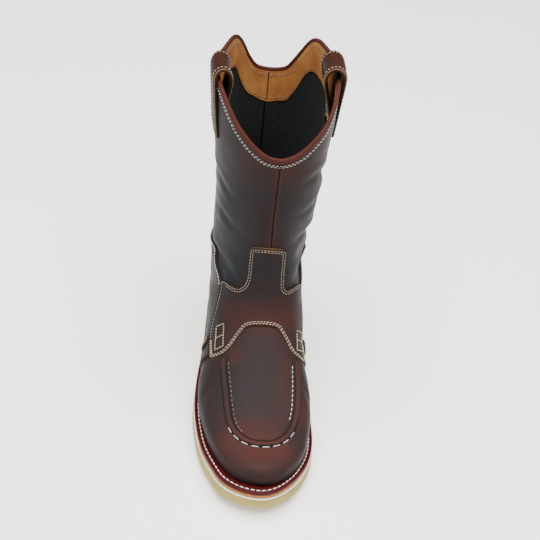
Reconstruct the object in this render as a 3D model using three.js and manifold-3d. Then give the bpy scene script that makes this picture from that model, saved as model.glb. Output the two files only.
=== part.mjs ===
// Leather pull-on wellington work boot for the right foot, standing empty on its wedge sole.
// Millimetres. While the pieces are made, x runs from the little-toe side to the big-toe side,
// y from the toe tip back to the heel, and z up from the floor. At the end the whole group is
// moved so that the middle of its footprint is the origin.
import * as THREE from "three";
import { mergeVertices } from "three/addons/utils/BufferGeometryUtils.js";
import Module from "manifold-3d";

const wasm = await Module();
wasm.setup();

// Driving dimensions: lengths, widths and heights
const SOLE_LENGTH = 306; // toe edge to heel edge of the welt
const SOLE_WIDTH = 106; // across the welt at the ball
const LAST_WIDTH = 101; // across the leather at the ball
const ANKLE_WIDTH = 85; // across the leather above the heel
const SHAFT_WIDTH = 109; // across the leather at the collar
const SHAFT_DEPTH = 146; // front to back of the leather at the collar
const UPPER_HEIGHT = 280; // from the welt beside the ankle to the collar's side

// Driving dimensions: the sole's layers
const TOE_SPRING = 9; // height of the tread's toe above the floor
const HEEL_RUBBER = 28.7; // outsole thickness under the heel
const FORE_RUBBER = 13.7; // outsole thickness under the ball
const RAND_THICK = 2.4; // white layer
const MIDSOLE_THICK = 3.1;
const WELT_THICK = 3;
const WELT_BAND = 17; // how far the welt reaches in from its edge
const RUBBER_BULGE = 1.2; // how far the outsole's side stands past the welt
const TREAD_INSET = 1; // how far the tread's edge lies inside the welt
const TOE_TUCK = 3.5; // how far the tread starts behind the welt's toe
const GROOVE_DEPTH = 2.2;
const GROOVE_WIDTH = 3.4;
const GROOVE_PITCH = 13;

// Driving dimensions: leather
const LEATHER = 2.2; // wall of the upper
const OVERLAY = 1.8; // saddle and counter
const RIDGE_HEIGHT = 2.4; // moc seam above the vamp
const RIDGE_WIDTH = 7; // moc seam across
const BINDING_HEIGHT = 2.6;
const BINDING_ROLL = 0.6; // how far the binding stands past each face of the wall
const INSOLE_THICK = 4;
const STRAP_WIDTH = 32;
const STRAP_THICK = 3.2; // at the loop
const STRAP_FOOT = 1.7; // thickness at the foot of each leg
const STRAP_DROP = 56; // how far each leg hangs below the collar
const STRAP_HEADROOM = 8.6; // gap between the binding and the loop
const STRAP_STAND_OUT = { lateral: 1.1, medial: 2.2 }; // loop's outer leg off the wall at the rim
const STRAP_STAND_IN = { lateral: 7.1, medial: 8.8 }; // loop's inner leg off the wall at the rim
const STRAP_ALONG = { lateral: 0.676, medial: 0.716 }; // loops' middles, shares of the sole's length
const TAB_THICK = 1.8; // small tabs over the side seams
const TAB_WIDE = 15; // in degrees round the form
const TAB_TALL = 0.34; // in section rows
const TAB_PLACE = 12.25; // section row of its middle
const SEAM_GAP = 1; // between saddle and counter, in degrees round the form
const GAP = 0.3; // between neighbouring pieces

// Heights along the wedge: share of the sole's length, tread height as a share of the toe spring,
// rubber as a share of the way from the fore thickness to the heel thickness.
const WEDGE = [
  { along: 0, spring: 1, rubber: -0.14 },
  { along: 0.035, spring: 0.82, rubber: -0.1 },
  { along: 0.1, spring: 0.48, rubber: -0.05 },
  { along: 0.2, spring: 0.15, rubber: -0.01 },
  { along: 0.29, spring: 0.02, rubber: 0.01 },
  { along: 0.36, spring: 0, rubber: 0.05 },
  { along: 0.49, spring: 0, rubber: 0.25 },
  { along: 0.65, spring: 0, rubber: 0.62 },
  { along: 0.82, spring: 0, rubber: 0.89 },
  { along: 0.95, spring: 0, rubber: 0.99 },
  { along: 1, spring: 0, rubber: 1 },
];

// Outline of the welt, once round from the toe by the little-toe side: share of the sole's length,
// and share of the sole's width across, negative on the little-toe side.
const WELT_OUTLINE = [
  { along: 0, across: 0.032 },
  { along: 0.014, across: -0.134 },
  { along: 0.056, across: -0.284 },
  { along: 0.121, across: -0.375 },
  { along: 0.2, across: -0.451 },
  { along: 0.3, across: -0.497 },
  { along: 0.4, across: -0.512 },
  { along: 0.493, across: -0.496 },
  { along: 0.578, across: -0.466 },
  { along: 0.66, across: -0.44 },
  { along: 0.75, across: -0.42 },
  { along: 0.84, across: -0.406 },
  { along: 0.915, across: -0.365 },
  { along: 0.967, across: -0.268 },
  { along: 0.995, across: -0.125 },
  { along: 1, across: -0.012 },
  { along: 0.995, across: 0.1 },
  { along: 0.968, across: 0.243 },
  { along: 0.918, across: 0.346 },
  { along: 0.843, across: 0.39 },
  { along: 0.755, across: 0.4 },
  { along: 0.67, across: 0.405 },
  { along: 0.58, across: 0.418 },
  { along: 0.5, across: 0.44 },
  { along: 0.41, across: 0.466 },
  { along: 0.315, across: 0.486 },
  { along: 0.228, across: 0.481 },
  { along: 0.154, across: 0.437 },
  { along: 0.08, across: 0.338 },
  { along: 0.033, across: 0.229 },
  { along: 0.01, across: 0.14 },
];

// Sections of the leather form. Each is a plane that holds the across direction and turns from
// upright at the toe to nearly level in the shaft. It runs from a front point on the instep line
// to a back point on the sole or heel line.
//   front, back: place of the two points as shares of the sole's length
//   frontUp, backUp: their height above the welt as shares of the upper's height
//   lateral, medial: reach to each side as shares of the zone's width
//   widest: where the section is widest, from the back point (0) to the front point (1)
//   crown, seat: roundness of the front and back halves, 2 for an ellipse, more for squarer
//   crest, spine: sideways place of the front and back points, as shares of the zone's width
const FOOT_SECTIONS = [
  { front: 0.031, frontUp: 0.034, back: 0.031, backUp: 0.007, lateral: 0.019, medial: 0.09,
    widest: 0.5, crown: 2.2, seat: 2.2, crest: 0.037, spine: 0.036 },
  { front: 0.036, frontUp: 0.047, back: 0.036, backUp: -0.007, lateral: 0.082, medial: 0.146,
    widest: 0.58, crown: 2.4, seat: 2.4, crest: 0.038, spine: 0.032 },
  { front: 0.047, frontUp: 0.059, back: 0.047, backUp: -0.021, lateral: 0.152, medial: 0.204,
    widest: 0.6, crown: 2.6, seat: 2.6, crest: 0.04, spine: 0.026 },
  { front: 0.065, frontUp: 0.068, back: 0.065, backUp: -0.034, lateral: 0.214, medial: 0.262,
    widest: 0.6, crown: 2.7, seat: 2.8, crest: 0.043, spine: 0.024 },
  { front: 0.092, frontUp: 0.075, back: 0.092, backUp: -0.041, lateral: 0.275, medial: 0.325,
    widest: 0.61, crown: 2.7, seat: 2.9, crest: 0.048, spine: 0.025 },
  { front: 0.124, frontUp: 0.0825, back: 0.124, backUp: -0.045, lateral: 0.33, medial: 0.383,
    widest: 0.61, crown: 2.7, seat: 2.9, crest: 0.052, spine: 0.027 },
  { front: 0.163, frontUp: 0.098, back: 0.163, backUp: -0.046, lateral: 0.38, medial: 0.428,
    widest: 0.58, crown: 2.6, seat: 2.9, crest: 0.055, spine: 0.024 },
  { front: 0.212, frontUp: 0.1175, back: 0.212, backUp: -0.046, lateral: 0.43, medial: 0.457,
    widest: 0.54, crown: 2.5, seat: 2.9, crest: 0.055, spine: 0.014 },
  { front: 0.268, frontUp: 0.1435, back: 0.268, backUp: -0.046, lateral: 0.471, medial: 0.477,
    widest: 0.51, crown: 2.4, seat: 2.9, crest: 0.055, spine: 0.003 },
  { front: 0.327, frontUp: 0.173, back: 0.327, backUp: -0.046, lateral: 0.503, medial: 0.481,
    widest: 0.46, crown: 2.3, seat: 2.9, crest: 0.055, spine: -0.009 },
  { front: 0.386, frontUp: 0.203, back: 0.39, backUp: -0.046, lateral: 0.513, medial: 0.471,
    widest: 0.42, crown: 2.2, seat: 2.9, crest: 0.055, spine: -0.016 },
  { front: 0.438, frontUp: 0.234, back: 0.448, backUp: -0.046, lateral: 0.495, medial: 0.442,
    widest: 0.385, crown: 2.15, seat: 2.9, crest: 0.054, spine: -0.02 },
  { front: 0.477, frontUp: 0.267, back: 0.516, backUp: -0.046, lateral: 0.468, medial: 0.417,
    widest: 0.36, crown: 2.05, seat: 2.8, crest: 0.053, spine: -0.019 },
  { front: 0.504, frontUp: 0.307, back: 0.595, backUp: -0.046, lateral: 0.442, medial: 0.411,
    widest: 0.36, crown: 2, seat: 2.8, crest: 0.051, spine: -0.019 },
];
const ANKLE_SECTIONS = [
  { front: 0.521, frontUp: 0.354, back: 0.68, backUp: -0.046, lateral: 0.509, medial: 0.488,
    widest: 0.37, crown: 2, seat: 2.7, crest: 0.06, spine: -0.022 },
  { front: 0.531, frontUp: 0.402, back: 0.771, backUp: -0.046, lateral: 0.497, medial: 0.476,
    widest: 0.38, crown: 2, seat: 2.7, crest: 0.06, spine: -0.022 },
  { front: 0.536, frontUp: 0.452, back: 0.863, backUp: -0.046, lateral: 0.488, medial: 0.464,
    widest: 0.4, crown: 2, seat: 2.6, crest: 0.06, spine: -0.022 },
  { front: 0.536, frontUp: 0.498, back: 0.938, backUp: -0.036, lateral: 0.486, medial: 0.455,
    widest: 0.42, crown: 2, seat: 2.6, crest: 0.058, spine: -0.022 },
  { front: 0.533, frontUp: 0.545, back: 0.979, backUp: 0.025, lateral: 0.488, medial: 0.456,
    widest: 0.44, crown: 2.05, seat: 2.6, crest: 0.054, spine: -0.022 },
  { front: 0.527, frontUp: 0.592, back: 0.985, backUp: 0.089, lateral: 0.503, medial: 0.478,
    widest: 0.46, crown: 2.1, seat: 2.5, crest: 0.051, spine: -0.022 },
  { front: 0.52, frontUp: 0.639, back: 0.974, backUp: 0.175, lateral: 0.513, medial: 0.505,
    widest: 0.48, crown: 2.15, seat: 2.4, crest: 0.049, spine: -0.022 },
];
const SHAFT_SECTIONS = [
  { depth: 0.942, frontUp: 0.687, back: 0.961, backUp: 0.264, lateral: 0.406, medial: 0.409,
    widest: 0.49, crown: 2.2, seat: 2.3, crest: 0.038, spine: -0.017 },
  { depth: 0.943, frontUp: 0.734, back: 0.953, backUp: 0.368, lateral: 0.41, medial: 0.424,
    widest: 0.5, crown: 2.2, seat: 2.2, crest: 0.038, spine: -0.017 },
  { depth: 0.952, frontUp: 0.782, back: 0.948, backUp: 0.482, lateral: 0.419, medial: 0.438,
    widest: 0.5, crown: 2.2, seat: 2.2, crest: 0.038, spine: -0.017 },
  { depth: 0.971, frontUp: 0.829, back: 0.949, backUp: 0.6, lateral: 0.437, medial: 0.454,
    widest: 0.5, crown: 2.2, seat: 2.2, crest: 0.038, spine: -0.017 },
  { depth: 0.99, frontUp: 0.8725, back: 0.951, backUp: 0.725, lateral: 0.457, medial: 0.473,
    widest: 0.5, crown: 2.2, seat: 2.2, crest: 0.038, spine: -0.017 },
  { depth: 1.01, frontUp: 0.919, back: 0.954, backUp: 0.85, lateral: 0.472, medial: 0.487,
    widest: 0.5, crown: 2.2, seat: 2.2, crest: 0.038, spine: -0.017 },
  { depth: 1.031, frontUp: 0.981, back: 0.956, backUp: 0.975, lateral: 0.48, medial: 0.492,
    widest: 0.5, crown: 2.2, seat: 2.2, crest: 0.038, spine: -0.017 },
  { depth: 1.058, frontUp: 1.061, back: 0.959, backUp: 1.1, lateral: 0.484, medial: 0.495,
    widest: 0.5, crown: 2.2, seat: 2.2, crest: 0.038, spine: -0.017 },
];

// Top line of the leather: degrees round from the front, and the height on each side above the
// welt under the collar's middle as a share of the upper's height. The collar dips in front and
// behind, with two ears beside the back dip.
const TOP_LINE = [
  { turn: 0, lateral: 0.839, medial: 0.839 },
  { turn: 6, lateral: 0.843, medial: 0.838 },
  { turn: 14, lateral: 0.857, medial: 0.846 },
  { turn: 22, lateral: 0.876, medial: 0.861 },
  { turn: 31, lateral: 0.902, medial: 0.885 },
  { turn: 38, lateral: 0.923, medial: 0.905 },
  { turn: 45, lateral: 0.948, medial: 0.9215 },
  { turn: 53, lateral: 0.974, medial: 0.945 },
  { turn: 60, lateral: 0.991, medial: 0.967 },
  { turn: 68, lateral: 1.001, medial: 0.984 },
  { turn: 80, lateral: 1.005, medial: 0.997 },
  { turn: 105, lateral: 0.998, medial: 1.003 },
  { turn: 116, lateral: 0.986, medial: 1.003 },
  { turn: 126, lateral: 0.984, medial: 1.006 },
  { turn: 134, lateral: 0.992, medial: 1.0095 },
  { turn: 140, lateral: 0.997, medial: 1.003 },
  { turn: 145, lateral: 0.986, medial: 0.983 },
  { turn: 150, lateral: 0.957, medial: 0.951 },
  { turn: 156, lateral: 0.912, medial: 0.914 },
  { turn: 163, lateral: 0.876, medial: 0.876 },
  { turn: 170, lateral: 0.862, medial: 0.862 },
  { turn: 180, lateral: 0.857, medial: 0.857 },
];

// Side seams, the same on both sides: the saddle ends on them and the counter starts there.
// A place is a section's row number counted from the toe, and need not be whole.
const SIDE_SEAM = [
  { place: 10.2, angle: 57 },
  { place: 10.84, angle: 59 },
  { place: 11.54, angle: 62.3 },
  { place: 12.23, angle: 65 },
  { place: 12.85, angle: 66.5 },
  { place: 13.3, angle: 64.5 },
  { place: 13.83, angle: 60.5 },
  { place: 14.44, angle: 57.5 },
  { place: 15.06, angle: 56 },
  { place: 15.7, angle: 57.5 },
];

// Lower and upper edge of the saddle, from the little-toe side to the big-toe side. The tab is
// where the upper edge jumps to place 17.
const SADDLE_EDGES = [
  { angle: -70, low: 10.64, high: 15.6 },
  { angle: -57, low: 10.62, high: 15.48 },
  { angle: -50, low: 10.45, high: 15.2 },
  { angle: -42, low: 10.43, high: 14.74 },
  { angle: -36, low: 10.54, high: 14.45 },
  { angle: -31, low: 10.78, high: 14.36 },
  { angle: -27, low: 11.07, high: 14.46 },
  { angle: -24.6, low: 11.25, high: 14.75 },
  { angle: -23.6, low: 11.33, high: 15.3 },
  { angle: -23.2, low: 11.35, high: 16.9 },
  { angle: -21.5, low: 11.48, high: 17.16 },
  { angle: -18, low: 11.66, high: 17.14 },
  { angle: -3, low: 11.66, high: 17.02 },
  { angle: 11, low: 11.6, high: 17.04 },
  { angle: 15, low: 11.38, high: 17.06 },
  { angle: 19.4, low: 11.03, high: 17 },
  { angle: 20.4, low: 10.97, high: 16.7 },
  { angle: 20.8, low: 10.93, high: 14.6 },
  { angle: 22, low: 10.85, high: 14.3 },
  { angle: 25, low: 10.6, high: 14.2 },
  { angle: 31, low: 10.4, high: 14.42 },
  { angle: 38, low: 10.36, high: 14.76 },
  { angle: 47, low: 10.34, high: 15.16 },
  { angle: 57, low: 10.45, high: 15.5 },
  { angle: 70, low: 10.5, high: 15.6 },
];

// Middle line of the moc toe's seam, from the saddle on the little-toe side round the toe and
// back to the saddle on the big-toe side
const MOC_LINE = [
  { place: 10.22, angle: -40 },
  { place: 9.5, angle: -38.3 },
  { place: 8.6, angle: -36.4 },
  { place: 7.6, angle: -35.6 },
  { place: 6.85, angle: -34.2 },
  { place: 6.25, angle: -30.2 },
  { place: 5.75, angle: -22.5 },
  { place: 5.4, angle: -13.5 },
  { place: 5.23, angle: -2 },
  { place: 5.35, angle: 8.5 },
  { place: 5.75, angle: 19 },
  { place: 6.25, angle: 26 },
  { place: 6.95, angle: 32 },
  { place: 7.75, angle: 34.8 },
  { place: 8.7, angle: 35.2 },
  { place: 9.5, angle: 35.7 },
  { place: 10.15, angle: 36.6 },
];

// Round back of the moc seam: share of its width across, and of its height
const RIDGE_PROFILE = [
  { across: -0.5, up: 0 },
  { across: 0.5, up: 0 },
  { across: 0.5, up: 0.5 },
  { across: 0.26, up: 0.92 },
  { across: -0.02, up: 1 },
  { across: -0.3, up: 0.86 },
  { across: -0.5, up: 0.5 },
];

// Lower and upper edge of the counter from the big-toe side round the heel
const COUNTER_EDGES = [
  { angle: 55.5, low: 10.95, high: 15.72 },
  { angle: 58, low: 10.95, high: 15.76 },
  { angle: 64, low: 11, high: 16.4 },
  { angle: 70, low: 11.1, high: 17.15 },
  { angle: 78, low: 11.25, high: 18 },
  { angle: 90, low: 11.55, high: 18.9 },
  { angle: 104, low: 11.9, high: 19.6 },
  { angle: 120, low: 12.4, high: 20.25 },
  { angle: 136, low: 12.8, high: 20.85 },
  { angle: 152, low: 13.2, high: 21.35 },
  { angle: 166, low: 13.4, high: 21.6 },
  { angle: 180, low: 13.5, high: 21.7 },
];

// Pull strap's inner line, from the foot of the outer leg over the rim to the foot of the inner
// leg: how far it stands off the wall it faces as a share of the loop's opening, and its height
// as a share of the leg's drop.
const STRAP_LEG = [
  { off: 0, drop: 1 },
  { off: 0.02, drop: 0.8 },
  { off: 0.2, drop: 0.55 },
  { off: 0.6, drop: 0.3 },
  { off: 0.94, drop: 0.1 },
];

// Materials: colour, roughness and metalness of each finish
const FINISHES = {
  oiledLeather: { color: 0x46322f, roughness: 0.5 },
  boundEdge: { color: 0x82463a, roughness: 0.45 },
  tanLeather: { color: 0xa87040, roughness: 0.6 },
  weltLeather: { color: 0x6a1517, roughness: 0.5 },
  midsoleLeather: { color: 0xb5703f, roughness: 0.55 },
  whiteRubber: { color: 0xe2e1d4, roughness: 0.7 },
  crepeRubber: { color: 0xbfb384, roughness: 0.85 },
};

function finish(name) {
  return new THREE.MeshStandardMaterial({ ...FINISHES[name], metalness: 0 });
}

// Smooth value of one column between the rows of a table, at a row number that needn't be whole
function between(values, place) {
  const last = values.length - 1;
  const low = Math.min(Math.max(Math.floor(place), 0), last - 1);
  const share = Math.min(Math.max(place, 0), last) - low;
  const p = [low - 1, low, low + 1, low + 2].map((i) => values[Math.min(Math.max(i, 0), last)]);
  const rise = (p[2] - p[0]) / 2;
  const nextRise = (p[3] - p[1]) / 2;
  const bend = 3 * (p[2] - p[1]) - 2 * rise - nextRise;
  const twist = 2 * (p[1] - p[2]) + rise + nextRise;
  return p[1] + share * (rise + share * (bend + share * twist));
}

// Straight-line value of one column of a table at a place along another column
function lookUp(rows, key, value, place) {
  const next = rows.findIndex((row) => row[key] >= place);
  if (next === 0) return rows[0][value];
  if (next < 0) return rows[rows.length - 1][value];
  const a = rows[next - 1];
  const b = rows[next];
  return a[value] + ((b[value] - a[value]) * (place - a[key])) / (b[key] - a[key]);
}

// Smooth value of one column of a table at a place along another column
function smoothly(rows, key, value, place) {
  const next = Math.min(Math.max(rows.findIndex((row) => row[key] >= place), 1), rows.length - 1);
  const share = (place - rows[next - 1][key]) / (rows[next][key] - rows[next - 1][key]);
  return between(rows.map((row) => row[value]), next - 1 + share);
}

function treadZ(y) {
  return TOE_SPRING * lookUp(WEDGE, "along", "spring", y / SOLE_LENGTH);
}

function outsoleTop(y) {
  const share = lookUp(WEDGE, "along", "rubber", y / SOLE_LENGTH);
  return treadZ(y) + FORE_RUBBER + (HEEL_RUBBER - FORE_RUBBER) * share;
}

function randTop(y) {
  return outsoleTop(y) + GAP + RAND_THICK;
}

function midsoleTop(y) {
  return randTop(y) + GAP + MIDSOLE_THICK;
}

function weltTop(y) {
  return midsoleTop(y) + GAP + WELT_THICK;
}

// A closed solid from a list of points and a list of faces of three or more corners
function solidFrom(points, faces) {
  const positions = [];
  for (const face of faces) {
    for (let i = 1; i + 1 < face.length; i += 1) {
      for (const corner of [face[0], face[i], face[i + 1]]) positions.push(...points[corner]);
    }
  }
  const geometry = new THREE.BufferGeometry();
  geometry.setAttribute("position", new THREE.Float32BufferAttribute(positions, 3));
  return solidOf(geometry);
}

function solidOf(geometry) {
  const bare = geometry.clone();
  bare.deleteAttribute("normal");
  bare.deleteAttribute("uv");
  const merged = mergeVertices(bare, 1e-4);
  const vertProperties = Float32Array.from(merged.attributes.position.array);
  const triVerts = Uint32Array.from(merged.index.array);
  return new wasm.Manifold(new wasm.Mesh({ numProp: 3, vertProperties, triVerts }));
}

function meshOf(name, solid, finishName) {
  const { vertProperties, triVerts, numProp } = solid.getMesh();
  const positions = new Float32Array((vertProperties.length / numProp) * 3);
  for (let i = 0; i < positions.length; i += 1) {
    positions[i] = vertProperties[Math.floor(i / 3) * numProp + (i % 3)];
  }
  const geometry = new THREE.BufferGeometry();
  geometry.setAttribute("position", new THREE.BufferAttribute(positions, 3));
  geometry.setIndex(new THREE.BufferAttribute(Uint32Array.from(triVerts), 1));
  geometry.computeVertexNormals();
  const mesh = new THREE.Mesh(geometry, finish(finishName));
  mesh.name = name;
  return mesh;
}

// Rings of equal length joined into a tube with both ends closed. Every ring runs the same way
// round, and outward faces need each next ring to lie on the side that the turn points to.
function tubeOf(rings) {
  const count = rings[0].length;
  const points = rings.flat();
  const faces = [];
  for (let r = 0; r + 1 < rings.length; r += 1) {
    for (let i = 0; i < count; i += 1) {
      const j = (i + 1) % count;
      faces.push([r * count + i, r * count + j, (r + 1) * count + j]);
      faces.push([r * count + i, (r + 1) * count + j, (r + 1) * count + i]);
    }
  }
  for (const [ring, flip] of [[0, true], [rings.length - 1, false]]) {
    const middle = points.length;
    const sum = [0, 0, 0];
    for (const point of rings[ring]) for (let k = 0; k < 3; k += 1) sum[k] += point[k] / count;
    points.push(sum);
    for (let i = 0; i < count; i += 1) {
      const a = ring * count + i;
      const b = ring * count + ((i + 1) % count);
      faces.push(flip ? [middle, b, a] : [middle, a, b]);
    }
  }
  return solidFrom(points, faces);
}

// Ring whose four corner lines run round and close on themselves, such as a rim
function ringOf(loops) {
  const count = loops[0].length;
  const points = loops.flat();
  const faces = [];
  loops.forEach((loop, side) => {
    const next = (side + 1) % loops.length;
    for (let i = 0; i < count; i += 1) {
      const j = (i + 1) % count;
      faces.push([side * count + i, side * count + j, next * count + j]);
      faces.push([side * count + i, next * count + j, next * count + i]);
    }
  });
  return solidFrom(points, faces);
}

// Bar of one side-view outline, right across the boot
function acrossBar(outline, reach) {
  const left = outline.map(([y, z]) => [-reach, y, z]);
  const right = outline.map(([y, z]) => [reach, y, z]);
  const shape = new THREE.Shape(outline.map(([y, z]) => new THREE.Vector2(y, z)));
  const caps = THREE.ShapeUtils.triangulateShape(shape.getPoints(), []);
  const count = outline.length;
  const faces = [];
  for (const [a, b, c] of caps) {
    faces.push([a + count, b + count, c + count], [c, b, a]);
  }
  for (let i = 0; i < count; i += 1) {
    const j = (i + 1) % count;
    faces.push([i, j, j + count], [i, j + count, i + count]);
  }
  const solid = solidFrom([...left, ...right], faces);
  if (solid.volume() > 0) return solid;
  return solidFrom([...left, ...right], faces.map((face) => face.slice().reverse()));
}

// The welt's outline as a smooth closed line, moved inward by an inset
const OUTLINE_STEPS = 360;
const outlineCurve = new THREE.CatmullRomCurve3(
  WELT_OUTLINE.map(({ along, across }) =>
    new THREE.Vector3(across * SOLE_WIDTH, along * SOLE_LENGTH, 0)),
  true,
  "centripetal",
);

function outlineInset(inset) {
  return Array.from({ length: OUTLINE_STEPS }, (_, i) => {
    const share = i / OUTLINE_STEPS;
    const point = outlineCurve.getPoint(share);
    const way = outlineCurve.getTangent(share);
    return [point.x + way.y * inset, point.y - way.x * inset];
  });
}

// Left and right reach of an inset outline at stations from toe to heel, closer at both ends
const SOLE_STATIONS = 30;

function stationsOf(inset) {
  const outline = outlineInset(inset);
  const ys = outline.map(([, y]) => y);
  const toe = Math.min(...ys);
  const heel = Math.max(...ys);
  return Array.from({ length: SOLE_STATIONS + 1 }, (_, i) => {
    const y = toe + ((heel - toe) * (1 - Math.cos((Math.PI * i) / SOLE_STATIONS))) / 2;
    const hits = [];
    outline.forEach(([x0, y0], k) => {
      const [x1, y1] = outline[(k + 1) % outline.length];
      if ((y0 <= y) === (y1 <= y)) return;
      hits.push(x0 + ((x1 - x0) * (y - y0)) / (y1 - y0));
    });
    const tip = outline.reduce((a, b) => (Math.abs(a[1] - y) < Math.abs(b[1] - y) ? a : b));
    if (hits.length < 2 || i === 0 || i === SOLE_STATIONS) return { y, left: tip[0], right: tip[0] };
    return { y, left: Math.min(...hits), right: Math.max(...hits) };
  });
}

// Sole layer: one ring of points per level, from the lowest to the highest. A level gives its
// inset, its height at each station and how far it pulls back at the toe.
function layerOf(levels) {
  const points = [];
  const rows = levels.map(({ inset, height, tuck = 0 }) =>
    stationsOf(inset).map(({ y, left, right }) => {
      const near = Math.max(0, 1 - y / (SOLE_LENGTH * 0.2));
      const place = y + tuck * near * near;
      const z = height(place);
      points.push([left, place, z], [right, place, z]);
      return [points.length - 2, points.length - 1];
    }));
  const faces = [];
  rows.forEach((row, level) => {
    for (let i = 0; i < SOLE_STATIONS; i += 1) {
      const [l0, r0] = row[i];
      const [l1, r1] = row[i + 1];
      if (level === 0) faces.push([l0, l1, r1], [l0, r1, r0]);
      if (level === rows.length - 1) faces.push([l0, r1, l1], [l0, r0, r1]);
      if (level === rows.length - 1) continue;
      const [L0, R0] = rows[level + 1][i];
      const [L1, R1] = rows[level + 1][i + 1];
      faces.push([l0, L0, L1], [l0, L1, l1], [r0, r1, R1], [r0, R1, R0]);
    }
  });
  return solidFrom(points, faces);
}

// The leather form: every section's numbers in millimetres
function sectionNumbers() {
  const rows = [];
  const add = (row, width) => {
    const backY = row.back * SOLE_LENGTH;
    const frontY = row.depth ? backY - row.depth * SHAFT_DEPTH : row.front * SOLE_LENGTH;
    rows.push({
      frontY,
      frontZ: weltTop(frontY) + row.frontUp * UPPER_HEIGHT,
      backY,
      backZ: weltTop(backY) + row.backUp * UPPER_HEIGHT,
      lateral: row.lateral * width,
      medial: row.medial * width,
      widest: row.widest,
      crown: row.crown,
      seat: row.seat,
      crest: row.crest * width,
      spine: row.spine * width,
    });
  };
  FOOT_SECTIONS.forEach((row) => add(row, LAST_WIDTH));
  ANKLE_SECTIONS.forEach((row) => add(row, ANKLE_WIDTH));
  SHAFT_SECTIONS.forEach((row) => add(row, SHAFT_WIDTH));
  return rows;
}

const sections = sectionNumbers();
const columns = Object.fromEntries(
  Object.keys(sections[0]).map((key) => [key, sections.map((row) => row[key])]),
);
const LAST_SECTION = sections.length - 1;

// Point of the bare form at a section place and an angle in degrees: 0 at the instep line, 90 on
// the big-toe side, 180 at the sole or heel line, -90 on the little-toe side.
function formPoint(place, angle) {
  const at = (key) => between(columns[key], place);
  const side = Math.sin((angle * Math.PI) / 180);
  const up = Math.cos((angle * Math.PI) / 180);
  const power = 2 / (up >= 0 ? at("crown") : at("seat"));
  const widest = at("widest");
  const half = (at("medial") + at("lateral")) / 2;
  const middle = (at("medial") - at("lateral")) / 2;
  const climb = Math.abs(up) ** power;
  const share = up >= 0 ? widest + (1 - widest) * climb : widest * (1 - climb);
  const lean = up >= 0 ? (at("crest") - middle) * climb ** 2 : (at("spine") - middle) * climb ** 2;
  return new THREE.Vector3(
    middle + lean + half * Math.sign(side) * Math.abs(side) ** power,
    at("backY") + (at("frontY") - at("backY")) * share,
    at("backZ") + (at("frontZ") - at("backZ")) * share,
  );
}

// The same point moved out of the leather by an offset, or into it by a negative one
function skin(place, angle, offset = 0) {
  const step = 0.04;
  const turn = 1.5;
  const along = formPoint(Math.min(place + step, LAST_SECTION), angle)
    .sub(formPoint(Math.max(place - step, 0), angle));
  const round = formPoint(place, angle + turn).sub(formPoint(place, angle - turn));
  const out = round.cross(along).normalize();
  return formPoint(place, angle).addScaledVector(out, offset);
}

// Closed solid of the whole form at an offset
const SKIN_SIDES = 36;
const LINING_SIDES = 26;

function formSolid(offset, sides = SKIN_SIDES) {
  const rings = [];
  for (let place = 0; place <= LAST_SECTION; place += 1) {
    rings.push(Array.from({ length: sides }, (_, i) =>
      skin(place, (360 * i) / sides, offset).toArray()));
  }
  return tubeOf(rings);
}

// Solid under a height line, right across the boot, and everything below it
function belowLine(height) {
  const ahead = -20;
  const behind = SOLE_LENGTH + 20;
  const floor = -60;
  const outline = [[ahead, floor], [behind, floor]];
  for (const { along } of WEDGE.slice().reverse()) {
    outline.push([along === 1 ? behind : along * SOLE_LENGTH, height(along * SOLE_LENGTH)]);
  }
  outline[outline.length - 1][0] = ahead;
  return acrossBar(outline, LAST_WIDTH);
}

// Top line: angle round the shaft and height, moved out from the leather's edge by a lift
const TOP_STEPS = 60;
const collarFront = skin(LAST_SECTION - 2, 0).y;
const collarBack = skin(LAST_SECTION - 2, 180).y;
const collarMiddle = (collarFront + collarBack) / 2;
const topLineBase = weltTop(collarMiddle);

function topLineHeight(turn) {
  const signed = ((turn + 540) % 360) - 180;
  const side = signed < 0 ? "lateral" : "medial";
  return topLineBase + UPPER_HEIGHT * smoothly(TOP_LINE, "turn", side, Math.abs(signed));
}

function topLinePoint(turn, lift) {
  const step = 3;
  const radius = (SHAFT_WIDTH + SHAFT_DEPTH) / 4;
  const slope = (topLineHeight(turn + step) - topLineHeight(turn - step))
    / ((2 * step * Math.PI * radius) / 180);
  const length = Math.hypot(1, slope);
  return {
    turn: turn - ((lift * slope) / length / radius) * (180 / Math.PI),
    z: topLineHeight(turn) + lift / length,
  };
}

// Loop round the shaft at a lift from the top line, or level and well above it
function rimLoop(share, lift) {
  return Array.from({ length: TOP_STEPS }, (_, i) => {
    const even = (360 * i) / TOP_STEPS;
    const clear = { turn: even, z: topLineBase + 1.5 * UPPER_HEIGHT };
    const { turn, z } = lift === Infinity ? clear : topLinePoint(even, lift);
    const angle = (turn * Math.PI) / 180;
    const x = (share * SHAFT_WIDTH * Math.sin(angle)) / 2;
    return [x, collarMiddle - (share * SHAFT_DEPTH * Math.cos(angle)) / 2, z];
  });
}

// Ring round the rim between two lifts, wide enough to hold the wall
function rimRing(low, high) {
  return ringOf([rimLoop(0.5, low), rimLoop(1.5, low), rimLoop(1.5, high), rimLoop(0.5, high)]);
}

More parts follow.
